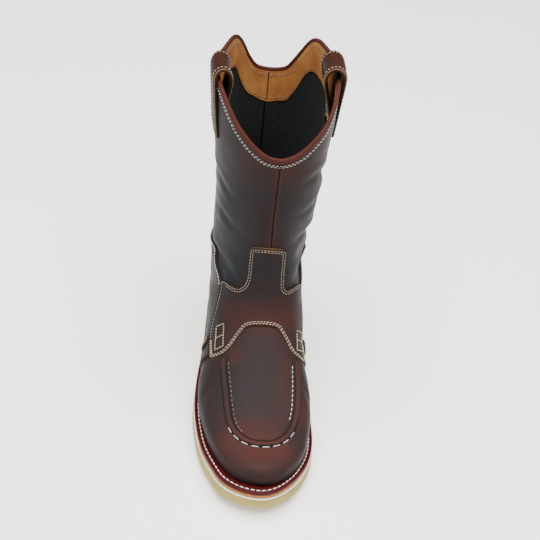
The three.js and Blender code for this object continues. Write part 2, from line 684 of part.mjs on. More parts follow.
// Closed sheet between two grids of points that match row by row
function thickPatch(inside, outside) {
  const points = [];
  const ids = [inside, outside].map((grid) => grid.map((line) => line.map((point) => {
    points.push(point);
    return points.length - 1;
  })));
  const [low, high] = ids;
  const lines = low.length - 1;
  const steps = low[0].length - 1;
  const faces = [];
  const quad = (a, b, c, d) => faces.push([a, b, c], [a, c, d]);
  for (let c = 0; c < lines; c += 1) {
    for (let i = 0; i < steps; i += 1) {
      quad(high[c][i], high[c + 1][i], high[c + 1][i + 1], high[c][i + 1]);
      quad(low[c][i], low[c][i + 1], low[c + 1][i + 1], low[c + 1][i]);
    }
    quad(low[c][0], low[c + 1][0], high[c + 1][0], high[c][0]);
    quad(low[c][steps], high[c][steps], high[c + 1][steps], low[c + 1][steps]);
  }
  for (let i = 0; i < steps; i += 1) {
    quad(low[0][i], high[0][i], high[0][i + 1], low[0][i + 1]);
    quad(low[lines][i], low[lines][i + 1], high[lines][i + 1], high[lines][i]);
  }
  const solid = solidFrom(points, faces);
  return solid.volume() > 0 ? solid : solidFrom(points, faces.map((f) => f.slice().reverse()));
}

// Cutter over a stretch of the form's surface: each column gives an angle and the two places
// between which it runs. It reaches well inside and outside the leather.
const CUTTER_STEPS = 8;
const CUTTER_DEPTH = 5;
const CUTTER_REACH = 8;

function columnCutter(lines) {
  const grid = (offset) => lines.map(({ angle, from, to }) =>
    Array.from({ length: CUTTER_STEPS + 1 }, (_, i) =>
      skin(from + ((to - from) * i) / CUTTER_STEPS, angle, offset).toArray()));
  return thickPatch(grid(-CUTTER_DEPTH), grid(CUTTER_REACH));
}

// The same, with a row for each place and the two angles between which it runs
function rowCutter(lines) {
  const grid = (offset) => lines.map(({ place, from, to }) =>
    Array.from({ length: CUTTER_STEPS + 1 }, (_, i) =>
      skin(place, from + ((to - from) * i) / CUTTER_STEPS, offset).toArray()));
  return thickPatch(grid(-CUTTER_DEPTH), grid(CUTTER_REACH));
}

// Leather of one thickness laid over the form, before it is cut to shape
function overlayShell(inner, thickness) {
  return formSolid(inner + thickness).subtract(formSolid(inner));
}

// Place and angle that lie a distance across a line on the form, given the line's direction
function stepAcross(place, angle, way, distance) {
  const small = 0.02;
  const here = skin(place, angle);
  const byPlace = skin(place + small, angle).sub(here).divideScalar(small);
  const byAngle = skin(place, angle + small).sub(here).divideScalar(small);
  const forward = byPlace.clone().multiplyScalar(way[0]).addScaledVector(byAngle, way[1]);
  const out = byAngle.clone().cross(byPlace).normalize();
  const side = forward.normalize().cross(out).multiplyScalar(distance);
  const pp = byPlace.dot(byPlace);
  const pa = byPlace.dot(byAngle);
  const aa = byAngle.dot(byAngle);
  const sp = side.dot(byPlace);
  const sa = side.dot(byAngle);
  const det = pp * aa - pa * pa;
  return [place + (sp * aa - sa * pa) / det, angle + (sa * pp - sp * pa) / det];
}

// Place and angle on one side of the shaft at a depth and a height
function sidePoint(side, y, z, offset) {
  let place = LAST_SECTION - 4;
  let angle = 90 * side;
  const small = 0.02;
  for (let i = 0; i < 12; i += 1) {
    const here = skin(place, angle, offset);
    const byPlace = skin(place + small, angle, offset).sub(here).divideScalar(small);
    const byAngle = skin(place, angle + small, offset).sub(here).divideScalar(small);
    const det = byPlace.y * byAngle.z - byPlace.z * byAngle.y;
    const dy = y - here.y;
    const dz = z - here.z;
    place = Math.min(place + (dy * byAngle.z - dz * byAngle.y) / det, LAST_SECTION - 0.1);
    angle += (dz * byPlace.y - dy * byPlace.z) / det;
  }
  return skin(place, angle, offset);
}

function makeOutsole() {
  const middle = (y) => (treadZ(y) + outsoleTop(y)) / 2;
  let solid = layerOf([
    { inset: TREAD_INSET, height: treadZ, tuck: TOE_TUCK },
    { inset: -RUBBER_BULGE, height: middle, tuck: TOE_TUCK / 2 },
    { inset: 0, height: outsoleTop },
  ]);
  const first = GROOVE_PITCH * 2;
  for (let y = first; y < SOLE_LENGTH - GROOVE_PITCH; y += GROOVE_PITCH) {
    const floor = treadZ(y);
    solid = solid.subtract(acrossBar([
      [y - GROOVE_WIDTH / 2, floor - GROOVE_DEPTH],
      [y + GROOVE_WIDTH / 2, floor - GROOVE_DEPTH],
      [y + GROOVE_WIDTH / 3, floor + GROOVE_DEPTH],
      [y - GROOVE_WIDTH / 3, floor + GROOVE_DEPTH],
    ], SOLE_WIDTH));
  }
  return solid;
}

function makeRand() {
  return layerOf([
    { inset: -RUBBER_BULGE / 4, height: (y) => outsoleTop(y) + GAP },
    { inset: 0, height: randTop },
  ]);
}

function makeMidsole() {
  return layerOf([
    { inset: RUBBER_BULGE / 3, height: (y) => randTop(y) + GAP },
    { inset: RUBBER_BULGE / 2, height: midsoleTop },
  ]);
}

function makeWelt() {
  const plate = layerOf([
    { inset: 0, height: (y) => midsoleTop(y) + GAP },
    { inset: RUBBER_BULGE / 3, height: weltTop },
  ]);
  return plate.subtract(layerOf([
    { inset: WELT_BAND, height: (y) => midsoleTop(y) - WELT_THICK },
    { inset: WELT_BAND, height: (y) => weltTop(y) + WELT_THICK },
  ]));
}

// The insole fills the welt's ring and lies inside the upper
function makeInsole() {
  const bed = formSolid(-LEATHER - GAP, LINING_SIDES)
    .intersect(belowLine((y) => weltTop(y) + GAP + INSOLE_THICK))
    .subtract(belowLine((y) => weltTop(y) + GAP));
  const filling = layerOf([
    { inset: WELT_BAND + GAP, height: (y) => midsoleTop(y) + GAP },
    { inset: WELT_BAND + GAP, height: (y) => weltTop(y) + INSOLE_THICK / 2 },
  ]);
  return bed.add(filling);
}

function makeUpper() {
  return formSolid(0)
    .subtract(formSolid(-LEATHER, LINING_SIDES))
    .subtract(belowLine((y) => weltTop(y) + GAP))
    .subtract(rimRing(0, Infinity));
}

function makeMocSeam() {
  const steps = 30;
  const lines = MOC_LINE.length - 1;
  const at = (column, share) => between(MOC_LINE.map((row) => row[column]), share * lines);
  const rings = Array.from({ length: steps + 1 }, (_, i) => {
    const share = i / steps;
    const small = 0.004;
    const before = Math.max(share - small, 0);
    const after = Math.min(share + small, 1);
    const way = ["place", "angle"].map((column) => at(column, after) - at(column, before));
    return RIDGE_PROFILE.map(({ across, up }) => {
      const [place, angle] = stepAcross(
        at("place", share), at("angle", share), way, across * RIDGE_WIDTH);
      return skin(place, angle, GAP + up * RIDGE_HEIGHT).toArray();
    });
  });
  const solid = tubeOf(rings);
  return solid.volume() > 0 ? solid : tubeOf(rings.map((ring) => ring.slice().reverse()));
}

// Cutter between the two side seams, with the seam's last angle carried up to a place
function betweenSeams(clearance, lastPlace) {
  const { angle: lastAngle } = SIDE_SEAM[SIDE_SEAM.length - 1];
  const rows = [...SIDE_SEAM, { place: lastPlace, angle: lastAngle }];
  return rowCutter(rows.map(({ place, angle }) =>
    ({ place, from: -angle - clearance, to: angle + clearance })));
}

function makeSaddle() {
  const pastTop = 19; // section rows beyond the saddle's ends
  const pastFoot = 8.5;
  const above = SADDLE_EDGES.map(({ angle, high }) => ({ angle, from: high, to: pastTop }));
  const below = SADDLE_EDGES.map(({ angle, low }) => ({ angle, from: pastFoot, to: low }));
  return overlayShell(GAP, OVERLAY)
    .intersect(betweenSeams(0, 17.6))
    .subtract(columnCutter(above))
    .subtract(columnCutter(below));
}

function makeCounter() {
  const half = COUNTER_EDGES.map(({ angle, low, high }) => ({ angle, from: low, to: high }));
  const other = half.slice(0, -1).reverse().map((row) => ({ ...row, angle: 360 - row.angle }));
  return overlayShell(GAP, OVERLAY)
    .intersect(columnCutter([...half, ...other]))
    .subtract(betweenSeams(SEAM_GAP, 15.74))
    .subtract(belowLine((y) => weltTop(y) + GAP));
}

function makeBinding() {
  return formSolid(BINDING_ROLL)
    .subtract(formSolid(-LEATHER - BINDING_ROLL, LINING_SIDES))
    .intersect(rimRing(GAP, GAP + BINDING_HEIGHT));
}

// Inner line of a pull strap from foot to foot, square to the wall: how far it stands out of the
// wall and its height above the rim
const ARCH_STEPS = 8;
const STRAP_COLUMNS = 3;
const SIDE_SIGN = { lateral: -1, medial: 1 };

function strapLine(name) {
  const standOut = STRAP_STAND_OUT[name];
  const standIn = STRAP_STAND_IN[name];
  const liningGap = 3 * GAP; // clears the flats of the lining
  const opening = standOut + LEATHER + standIn;
  const line = STRAP_LEG.map(({ off, drop }) =>
    ({ off: GAP + off * (standOut - GAP), up: -drop * STRAP_DROP }));
  for (let i = 0; i <= ARCH_STEPS; i += 1) {
    const turn = (Math.PI * i) / ARCH_STEPS;
    const across = standOut - (opening * (1 - Math.cos(turn))) / 2;
    line.push({ off: across, up: STRAP_HEADROOM * Math.sin(turn) });
  }
  for (const { off, drop } of STRAP_LEG.slice().reverse()) {
    const stand = liningGap + off * (standIn - liningGap);
    line.push({ off: -LEATHER - stand, up: -drop * STRAP_DROP });
  }
  return line;
}

// The strap's outer line; the legs thin out towards their feet
function awayFrom(line) {
  return line.map((point, i) => {
    const a = line[Math.max(i - 1, 0)];
    const b = line[Math.min(i + 1, line.length - 1)];
    const length = Math.hypot(b.off - a.off, b.up - a.up);
    const down = Math.max(-point.up, 0) / STRAP_DROP;
    const thick = STRAP_THICK + (STRAP_FOOT - STRAP_THICK) * down;
    return {
      off: point.off + ((b.up - a.up) / length) * thick,
      up: point.up - ((b.off - a.off) / length) * thick,
    };
  });
}

function makePullStrap(name) {
  const side = SIDE_SIGN[name];
  const middle = STRAP_ALONG[name] * SOLE_LENGTH;
  const rim = topLineHeight(90 * side) + GAP + BINDING_HEIGHT;
  const line = strapLine(name);
  const grid = (path) => Array.from({ length: STRAP_COLUMNS + 1 }, (_, i) => {
    const y = middle + STRAP_WIDTH * (i / STRAP_COLUMNS - 0.5);
    return path.map(({ off, up }) => {
      const wall = sidePoint(side, y, rim + up, 0);
      return [wall.x + side * off, y, rim + up];
    });
  });
  return thickPatch(grid(line), grid(awayFrom(line)));
}

// Small tab stitched over a side seam's back edge, on top of the counter
const TAB_STEPS = 3;

function makeSeamTab(name) {
  const side = SIDE_SIGN[name];
  const low = 2 * GAP + OVERLAY;
  const start = lookUp(SIDE_SEAM, "place", "angle", TAB_PLACE) + 1.4 * SEAM_GAP;
  const grid = (offset) => Array.from({ length: TAB_STEPS + 1 }, (_, c) =>
    Array.from({ length: TAB_STEPS + 1 }, (__, i) => skin(
      TAB_PLACE + TAB_TALL * (i / TAB_STEPS - 0.5),
      side * (start + (TAB_WIDE * c) / TAB_STEPS),
      offset,
    ).toArray()));
  return thickPatch(grid(low), grid(low + TAB_THICK));
}

const pieces = [
  ["outsole", makeOutsole(), "crepeRubber"],
  ["rand", makeRand(), "whiteRubber"],
  ["midsole", makeMidsole(), "midsoleLeather"],
  ["welt", makeWelt(), "weltLeather"],
  ["insole", makeInsole(), "tanLeather"],
  ["upper", makeUpper(), "oiledLeather"],
  ["moc_seam", makeMocSeam(), "oiledLeather"],
  ["saddle", makeSaddle(), "oiledLeather"],
  ["counter", makeCounter(), "oiledLeather"],
  ["collar_binding", makeBinding(), "boundEdge"],
  ["pull_strap_lateral", makePullStrap("lateral"), "oiledLeather"],
  ["pull_strap_medial", makePullStrap("medial"), "oiledLeather"],
  ["seam_tab_lateral", makeSeamTab("lateral"), "oiledLeather"],
  ["seam_tab_medial", makeSeamTab("medial"), "oiledLeather"],
];

const boot = new THREE.Group();
for (const [name, solid, finishName] of pieces) boot.add(meshOf(name, solid, finishName));

const box = new THREE.Box3().setFromObject(boot);
const footprint = box.getCenter(new THREE.Vector3());
boot.position.set(-footprint.x, -footprint.y, -box.min.z);

export default boot;
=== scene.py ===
# %% [markdown]
# # A leather wellington work boot
# The boot is a tall pull-on boot for the right foot, with a moc toe, a saddle over the instep,
# two pull straps and a wedge sole of crepe rubber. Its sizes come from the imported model. This
# lesson rebuilds each leather piece as a thin shell over the same foot form, lays the stitches
# on it and gives every surface a finish of its own.

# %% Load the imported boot
import math
import bpy
import numpy as np
from mathutils import Matrix, Vector
from mathutils.geometry import delaunay_2d_cdt


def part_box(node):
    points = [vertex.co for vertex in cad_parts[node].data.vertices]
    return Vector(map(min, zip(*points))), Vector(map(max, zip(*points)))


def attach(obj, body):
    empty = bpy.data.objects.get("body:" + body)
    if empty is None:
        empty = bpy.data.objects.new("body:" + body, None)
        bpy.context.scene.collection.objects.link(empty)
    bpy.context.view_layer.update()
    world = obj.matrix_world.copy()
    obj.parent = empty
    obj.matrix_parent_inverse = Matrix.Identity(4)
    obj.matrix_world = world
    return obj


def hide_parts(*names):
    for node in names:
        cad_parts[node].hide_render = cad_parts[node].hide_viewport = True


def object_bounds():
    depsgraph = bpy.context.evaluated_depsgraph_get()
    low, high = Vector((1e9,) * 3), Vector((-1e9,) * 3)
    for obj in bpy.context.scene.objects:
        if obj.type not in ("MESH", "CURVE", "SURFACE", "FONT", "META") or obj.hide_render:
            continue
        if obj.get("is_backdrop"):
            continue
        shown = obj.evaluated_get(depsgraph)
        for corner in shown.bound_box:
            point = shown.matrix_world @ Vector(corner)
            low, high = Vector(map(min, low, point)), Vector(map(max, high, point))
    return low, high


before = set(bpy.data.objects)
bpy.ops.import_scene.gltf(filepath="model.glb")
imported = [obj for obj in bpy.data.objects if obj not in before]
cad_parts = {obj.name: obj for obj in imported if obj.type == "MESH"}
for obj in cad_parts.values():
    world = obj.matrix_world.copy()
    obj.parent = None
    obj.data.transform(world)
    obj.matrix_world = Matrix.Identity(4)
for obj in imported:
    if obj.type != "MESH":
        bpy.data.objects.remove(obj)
model_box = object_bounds()
print("nodes:", sorted(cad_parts))

# %% [markdown]
# ## The foot form
# A shoemaker starts from a last, the wooden form of the foot. Here the form is a fan of closed
# sections: upright at the toe, turning round the ankle and nearly level in the shaft. A place on
# it is a section's row number and an angle: 0 at the instep line, 90 on the big-toe side, 180 at
# the sole or heel line. Each leather piece can then be drawn flat, in places and angles.

# %% Sizes of the boot in millimetres
SOLE_LENGTH = 306
SOLE_WIDTH = 106
LAST_WIDTH = 101
ANKLE_WIDTH = 85
SHAFT_WIDTH = 109
SHAFT_DEPTH = 146
UPPER_HEIGHT = 280
TOE_SPRING = 9
HEEL_RUBBER = 28.7
FORE_RUBBER = 13.7
RAND_THICK = 2.4
MIDSOLE_THICK = 3.1
WELT_THICK = 3
WELT_BAND = 17
LEATHER = 2.2
OVERLAY = 1.8
GAP = 0.3


def table(names, rows):
    return dict(zip(names, np.array(rows, float).T))


WEDGE = table(("along", "spring", "rubber"), [
    (0, 1, -0.14), (0.035, 0.82, -0.1), (0.1, 0.48, -0.05), (0.2, 0.15, -0.01),
    (0.29, 0.02, 0.01), (0.36, 0, 0.05), (0.49, 0, 0.25), (0.65, 0, 0.62),
    (0.82, 0, 0.89), (0.95, 0, 0.99), (1, 0, 1),
])

# %% Sections of the form
SECTION = ("front", "frontUp", "back", "backUp", "lateral", "medial", "widest",
           "crown", "seat", "crest", "spine")
FOOT = table(SECTION, [
    (0.031, 0.034, 0.031, 0.007, 0.019, 0.09, 0.5, 2.2, 2.2, 0.037, 0.036),
    (0.036, 0.047, 0.036, -0.007, 0.082, 0.146, 0.58, 2.4, 2.4, 0.038, 0.032),
    (0.047, 0.059, 0.047, -0.021, 0.152, 0.204, 0.6, 2.6, 2.6, 0.04, 0.026),
    (0.065, 0.068, 0.065, -0.034, 0.214, 0.262, 0.6, 2.7, 2.8, 0.043, 0.024),
    (0.092, 0.075, 0.092, -0.041, 0.275, 0.325, 0.61, 2.7, 2.9, 0.048, 0.025),
    (0.124, 0.0825, 0.124, -0.045, 0.33, 0.383, 0.61, 2.7, 2.9, 0.052, 0.027),
    (0.163, 0.098, 0.163, -0.046, 0.38, 0.428, 0.58, 2.6, 2.9, 0.055, 0.024),
    (0.212, 0.1175, 0.212, -0.046, 0.43, 0.457, 0.54, 2.5, 2.9, 0.055, 0.014),
    (0.268, 0.1435, 0.268, -0.046, 0.471, 0.477, 0.51, 2.4, 2.9, 0.055, 0.003),
    (0.327, 0.173, 0.327, -0.046, 0.503, 0.481, 0.46, 2.3, 2.9, 0.055, -0.009),
    (0.386, 0.203, 0.39, -0.046, 0.513, 0.471, 0.42, 2.2, 2.9, 0.055, -0.016),
    (0.438, 0.234, 0.448, -0.046, 0.495, 0.442, 0.385, 2.15, 2.9, 0.054, -0.02),
    (0.477, 0.267, 0.516, -0.046, 0.468, 0.417, 0.36, 2.05, 2.8, 0.053, -0.019),
    (0.504, 0.307, 0.595, -0.046, 0.442, 0.411, 0.36, 2, 2.8, 0.051, -0.019),
])
ANKLE = table(SECTION, [
    (0.521, 0.354, 0.68, -0.046, 0.509, 0.488, 0.37, 2, 2.7, 0.06, -0.022),
    (0.531, 0.402, 0.771, -0.046, 0.497, 0.476, 0.38, 2, 2.7, 0.06, -0.022),
    (0.536, 0.452, 0.863, -0.046, 0.488, 0.464, 0.4, 2, 2.6, 0.06, -0.022),
    (0.536, 0.498, 0.938, -0.036, 0.486, 0.455, 0.42, 2, 2.6, 0.058, -0.022),
    (0.533, 0.545, 0.979, 0.025, 0.488, 0.456, 0.44, 2.05, 2.6, 0.054, -0.022),
    (0.527, 0.592, 0.985, 0.089, 0.503, 0.478, 0.46, 2.1, 2.5, 0.051, -0.022),
    (0.52, 0.639, 0.974, 0.175, 0.513, 0.505, 0.48, 2.15, 2.4, 0.049, -0.022),
])
# In the shaft the first column is the depth of the section, not the place of its front
SHAFT = table(SECTION, [
    (0.942, 0.687, 0.961, 0.264, 0.406, 0.409, 0.49, 2.2, 2.3, 0.038, -0.017),
    (0.943, 0.734, 0.953, 0.368, 0.41, 0.424, 0.5, 2.2, 2.2, 0.038, -0.017),
    (0.952, 0.782, 0.948, 0.482, 0.419, 0.438, 0.5, 2.2, 2.2, 0.038, -0.017),
    (0.971, 0.829, 0.949, 0.6, 0.437, 0.454, 0.5, 2.2, 2.2, 0.038, -0.017),
    (0.99, 0.8725, 0.951, 0.725, 0.457, 0.473, 0.5, 2.2, 2.2, 0.038, -0.017),
    (1.01, 0.919, 0.954, 0.85, 0.472, 0.487, 0.5, 2.2, 2.2, 0.038, -0.017),
    (1.031, 0.981, 0.956, 0.975, 0.48, 0.492, 0.5, 2.2, 2.2, 0.038, -0.017),
    (1.058, 1.061, 0.959, 1.1, 0.484, 0.495, 0.5, 2.2, 2.2, 0.038, -0.017),
])


# %% Helpers for smooth tables and lines
def smooth_row(columns, key, value, place):
    """Smooth value of one column at a place along another column."""
    row = np.interp(place, columns[key], np.arange(len(columns[key])))
    return between(columns[value], row)


def between(values, place):
    """Smooth value between the rows of a table, at a row number that need not be whole."""
    last = len(values) - 1
    place = np.clip(np.asarray(place, float), 0, last)
    low = np.clip(np.floor(place), 0, last - 1).astype(int)
    share = place - low
    a, b, c, d = [values[np.clip(low + k, 0, last)] for k in (-1, 0, 1, 2)]
    rise = (c - a) / 2
    after = (d - b) / 2
    return b + share * (rise + share * ((3 * (c - b) - 2 * rise - after)
                                        + share * (2 * (b - c) + rise + after)))


def straight_row(columns, key, value, place):
    return np.interp(place, columns[key], columns[value])


def unit(ways):
    return ways / (np.linalg.norm(ways, axis=-1, keepdims=True) + 1e-12)


def reach_along(points):
    """Distance along a line from its start to each of its points."""
    return np.append(0.0, np.cumsum(np.linalg.norm(np.diff(points, axis=0), axis=1)))


def at_reach(wanted, reach, values):
    """Each column of the values at the wanted distances along a line."""
    return np.stack([np.interp(wanted, reach, column) for column in values.T], -1)


# %% Heights of the sole's layers
def tread(y, value=smooth_row):
    return TOE_SPRING * value(WEDGE, "along", "spring", np.asarray(y) / SOLE_LENGTH)


def crepe_top(y, value=smooth_row):
    share = value(WEDGE, "along", "rubber", np.asarray(y) / SOLE_LENGTH)
    return tread(y, value) + FORE_RUBBER + (HEEL_RUBBER - FORE_RUBBER) * share


def rand_top(y, value=smooth_row):
    return crepe_top(y, value) + GAP + RAND_THICK


def midsole_top(y, value=smooth_row):
    return rand_top(y, value) + GAP + MIDSOLE_THICK


def welt_top(y, value=smooth_row):
    return midsole_top(y, value) + GAP + WELT_THICK


print("welt's top at the toe, the middle and the heel, mm:",
      welt_top(np.array([0.0, 0.5, 1.0]) * SOLE_LENGTH).round(1))


# %% The form's numbers in millimetres
def section_columns():
    parts = []
    for block, width in ((FOOT, LAST_WIDTH), (ANKLE, ANKLE_WIDTH), (SHAFT, SHAFT_WIDTH)):
        back_y = block["back"] * SOLE_LENGTH
        front_y = block["front"] * SOLE_LENGTH
        if block is SHAFT:
            front_y = back_y - block["front"] * SHAFT_DEPTH
        part = dict(front_y=front_y, back_y=back_y)
        part["front_z"] = welt_top(front_y, straight_row) + block["frontUp"] * UPPER_HEIGHT
        part["back_z"] = welt_top(back_y, straight_row) + block["backUp"] * UPPER_HEIGHT
        for key in ("lateral", "medial", "crest", "spine"):
            part[key] = block[key] * width
        for key in ("widest", "crown", "seat"):
            part[key] = block[key]
        parts.append(part)
    return {key: np.concatenate([part[key] for part in parts]) for key in parts[0]}


COLUMNS = section_columns()
LAST = len(COLUMNS["front_y"]) - 1
print("sections:", LAST + 1)


# %% Points on the form
def form_point(place, angle):
    place, angle = np.broadcast_arrays(np.asarray(place, float), np.asarray(angle, float))
    at = {key: between(values, place) for key, values in COLUMNS.items()}
    side = np.sin(np.radians(angle))
    up = np.cos(np.radians(angle))
    power = 2 / np.where(up >= 0, at["crown"], at["seat"])
    half = (at["medial"] + at["lateral"]) / 2
    middle = (at["medial"] - at["lateral"]) / 2
    climb = np.abs(up) ** power
    share = np.where(up >= 0, at["widest"] + (1 - at["widest"]) * climb,
                     at["widest"] * (1 - climb))
    lean = (np.where(up >= 0, at["crest"], at["spine"]) - middle) * climb ** 2
    return np.stack([
        middle + lean + half * np.sign(side) * np.abs(side) ** power,
        at["back_y"] + (at["front_y"] - at["back_y"]) * share,
        at["back_z"] + (at["front_z"] - at["back_z"]) * share], -1)


def skin(place, angle, offset=0.0):
    """Points at an offset out of the leather, and the way out of it."""
    along = form_point(np.minimum(place + 0.04, LAST), angle) \
        - form_point(np.maximum(place - 0.04, 0), angle)
    around = form_point(place, angle + 1.5) - form_point(place, angle - 1.5)
    out = unit(np.cross(around, along))
    return form_point(place, angle) + out * np.asarray(offset, float)[..., None], out


def slopes(place, angle, small=0.02):
    """A point on the form, and how it moves with the place and with the angle."""
    here = form_point(place, angle)
    by_place = (form_point(np.minimum(place + small, LAST), angle) - here) / small
    return here, by_place, (form_point(place, angle + small) - here) / small


print("form at the instep and at the heel, mm:", form_point([14, 14], [0, 180]).round(1))


# %% [markdown]
# ## The line of the collar
# The top edge dips in front and behind, and rises to two ears beside the back dip. The line is
# given by height against the angle round the shaft. Halving the interval finds the place on each
# line of the form where the leather ends.

# %% Top line
TOP = table(("turn", "lateral", "medial"), [
    (0, 0.839, 0.839), (6, 0.843, 0.838), (14, 0.857, 0.846), (22, 0.876, 0.861),
    (31, 0.902, 0.885), (38, 0.923, 0.905), (45, 0.948, 0.9215), (53, 0.974, 0.945),
    (60, 0.991, 0.967), (68, 1.001, 0.984), (80, 1.005, 0.997), (105, 0.998, 1.003),
    (116, 0.986, 1.003), (126, 0.984, 1.006), (134, 0.992, 1.0095), (140, 0.997, 1.003),
    (145, 0.986, 0.983), (150, 0.957, 0.951), (156, 0.912, 0.914), (163, 0.876, 0.876),
    (170, 0.862, 0.862), (180, 0.857, 0.857),
])
collar_middle = (skin(LAST - 2, 0)[0][1] + skin(LAST - 2, 180)[0][1]) / 2
collar_base = float(welt_top(collar_middle, straight_row))


def top_height(x, y):
    turn = np.degrees(np.arctan2(x / SHAFT_WIDTH, -(y - collar_middle) / SHAFT_DEPTH))
    lateral = smooth_row(TOP, "turn", "lateral", np.abs(turn))
    medial = smooth_row(TOP, "turn", "medial", np.abs(turn))
    return collar_base + UPPER_HEIGHT * np.where(turn < 0, lateral, medial)


def halve(low, high, above):
    """Place between low and high where above() turns from false to true."""
    for _ in range(34):
        middle = (low + high) / 2
        past = above(middle)
        high = np.where(past, middle, high)
        low = np.where(past, low, middle)
    return (low + high) / 2


def rim_place(angle, offset=0.0):
    def above(place):
        point = skin(place, angle, offset)[0]
        return point[..., 2] > top_height(point[..., 0], point[..., 1])
    return halve(np.full(angle.shape, 21.5), np.full(angle.shape, float(LAST)), above)


print("rim at the front and back:", rim_place(np.array([0.0, 180.0])).round(2))

# %% [markdown]
# ## Lines on the leather
# Panel edges, seams and stitch rows are lines in places and angles. Each is drawn smoothly
# through its points, then walked in even steps of real length, because stitches have an even
# pitch.


# %% Lines in places and angles
def even_line(points, step, smooth=True):
    """Smooth line through (place, angle) points, in even steps on the leather."""
    points = np.asarray(points, float)
    row = np.linspace(0, len(points) - 1, max(len(points) * 24, 400))
    if smooth:
        fine = np.stack([between(column, row) for column in points.T], -1)
    else:
        fine = at_reach(row, np.arange(len(points)), points)
    reach = reach_along(form_point(*fine.T))
    steps = max(int(round(reach[-1] / step)), 2)
    return at_reach(np.linspace(0, reach[-1], steps + 1), reach, fine)


def beside(line, distance, closed=False):
    """The line moved sideways on the leather by a distance in millimetres."""
    way = np.roll(line, -1, 0) - np.roll(line, 1, 0) if closed else np.gradient(line, axis=0)
    _, by_place, by_angle = slopes(*line.T)
    forward = unit(by_place * way[:, :1] + by_angle * way[:, 1:])
    side = np.cross(forward, unit(np.cross(by_angle, by_place))) * distance
    pp, pa, aa, sp, sa = [(a * b).sum(1) for a, b in (
        (by_place, by_place), (by_place, by_angle), (by_angle, by_angle),
        (side, by_place), (side, by_angle))]
    shift = np.stack([sp * aa - sa * pa, sa * pp - sp * pa], -1)
    return line + shift / (pp * aa - pa * pa)[:, None]


def nearest(points, line_points):
    """Distance from each point to the nearest of a line's points, and which one."""
    best = np.empty(len(points))
    which = np.empty(len(points), int)
    for start in range(0, len(points), 4000):  # in parts, to spare memory
        part = slice(start, start + 4000)
        gaps = np.linalg.norm(points[part, None] - line_points[None], axis=2)
        which[part] = gaps.argmin(1)
        best[part] = gaps.min(1)
    return best, which


# %% [markdown]
# ## Creases, worn tones and painted sheen
# Oiled leather folds where the ankle and shaft bend, and keeps soft troughs with a rounded ridge
# beside each. They are given as lines with a depth and a width, and every outer piece
# takes the same relief, so a fold runs on from the shaft under the saddle. Waxed and oiled hide
# also changes tone: it turns redder where it is stretched or rubbed. The grey-blue sheen and
# shade that light leaves on the sides is painted in as a greyer, darker tone.

# %% Creases: depth and width in millimetres, then the line
CREASES = [
    (1.3, 7, [(23.3, -100), (23.2, -84), (22.9, -72), (22.3, -60), (21.6, -48)]),
    (1.1, 8, [(21.5, -88), (20.9, -70), (20.0, -56), (19.1, -44)]),
    (1.8, 8, [(18.7, -96), (18.1, -80), (17.1, -64), (16.0, -50), (14.9, -35)]),
    (1.0, 7, [(17.3, -100), (16.4, -84), (15.6, -68)]),
    (1.8, 7, [(22.8, 112), (23.2, 90), (23.5, 68), (23.5, 48), (23.1, 32)]),
    (2.0, 8, [(19.6, 112), (19.9, 88), (19.5, 66), (18.5, 46), (17.9, 32)]),
    (1.5, 8, [(18.2, 92), (17.4, 72), (16.1, 54), (14.8, 34)]),
    (1.0, 8, [(21.9, 78), (21.4, 60), (20.7, 44), (20.2, 30)]),
    (1.2, 9, [(20.6, 150), (20.3, 170), (20.4, 190), (20.8, 212)]),
    (1.1, 9, [(22.9, 140), (22.4, 165), (22.5, 190), (23.0, 222)]),
    (0.7, 6, [(9.3, -52), (9.0, -62), (8.7, -74)]),
    (0.7, 6, [(9.2, 48), (8.9, 60), (8.6, 74)]),
    (0.5, 7, [(13.9, -30), (13.7, -10), (13.7, 10), (13.9, 28)]),
]
crease_lines = [(depth, width, form_point(*even_line(line, 3).T))
                for depth, width, line in CREASES]
print("creases:", len(CREASES), "with the deepest", max(row[0] for row in CREASES), "mm")


def relief(points):
    """How far the leather rises or sinks at points on the form, in millimetres."""
    flat = points.reshape(-1, 3)
    rise = np.zeros(len(flat))
    for depth, width, line in crease_lines:
        near = np.abs(flat[:, None, :] - line[[0, len(line) // 2, -1]][None]).sum(2).min(1) < 120
        gap, which = nearest(flat[near], line)
        share = which / (len(line) - 1)
        taper = np.sin(np.pi * np.clip(share, 0.02, 0.98)) ** 0.6
        trough = -depth * np.exp(-(gap / (0.55 * width)) ** 2)
        ridge = 0.55 * depth * np.exp(-((gap - 1.35 * width) / (0.8 * width)) ** 2)
        rise[near] += taper * (trough + ridge)
    x, y, z = flat.T
    high = np.clip((z - 60) / 60, 0, 1)
    rise += high * 0.35 * np.sin(z / 17 + x / 29 + 1.3) * np.sin(y / 23 + z / 41)
    rise += 0.12 * np.sin(x / 7.3 + z / 9.1) * np.sin(y / 8.7 - z / 13)
    return rise.reshape(points.shape[:-1])
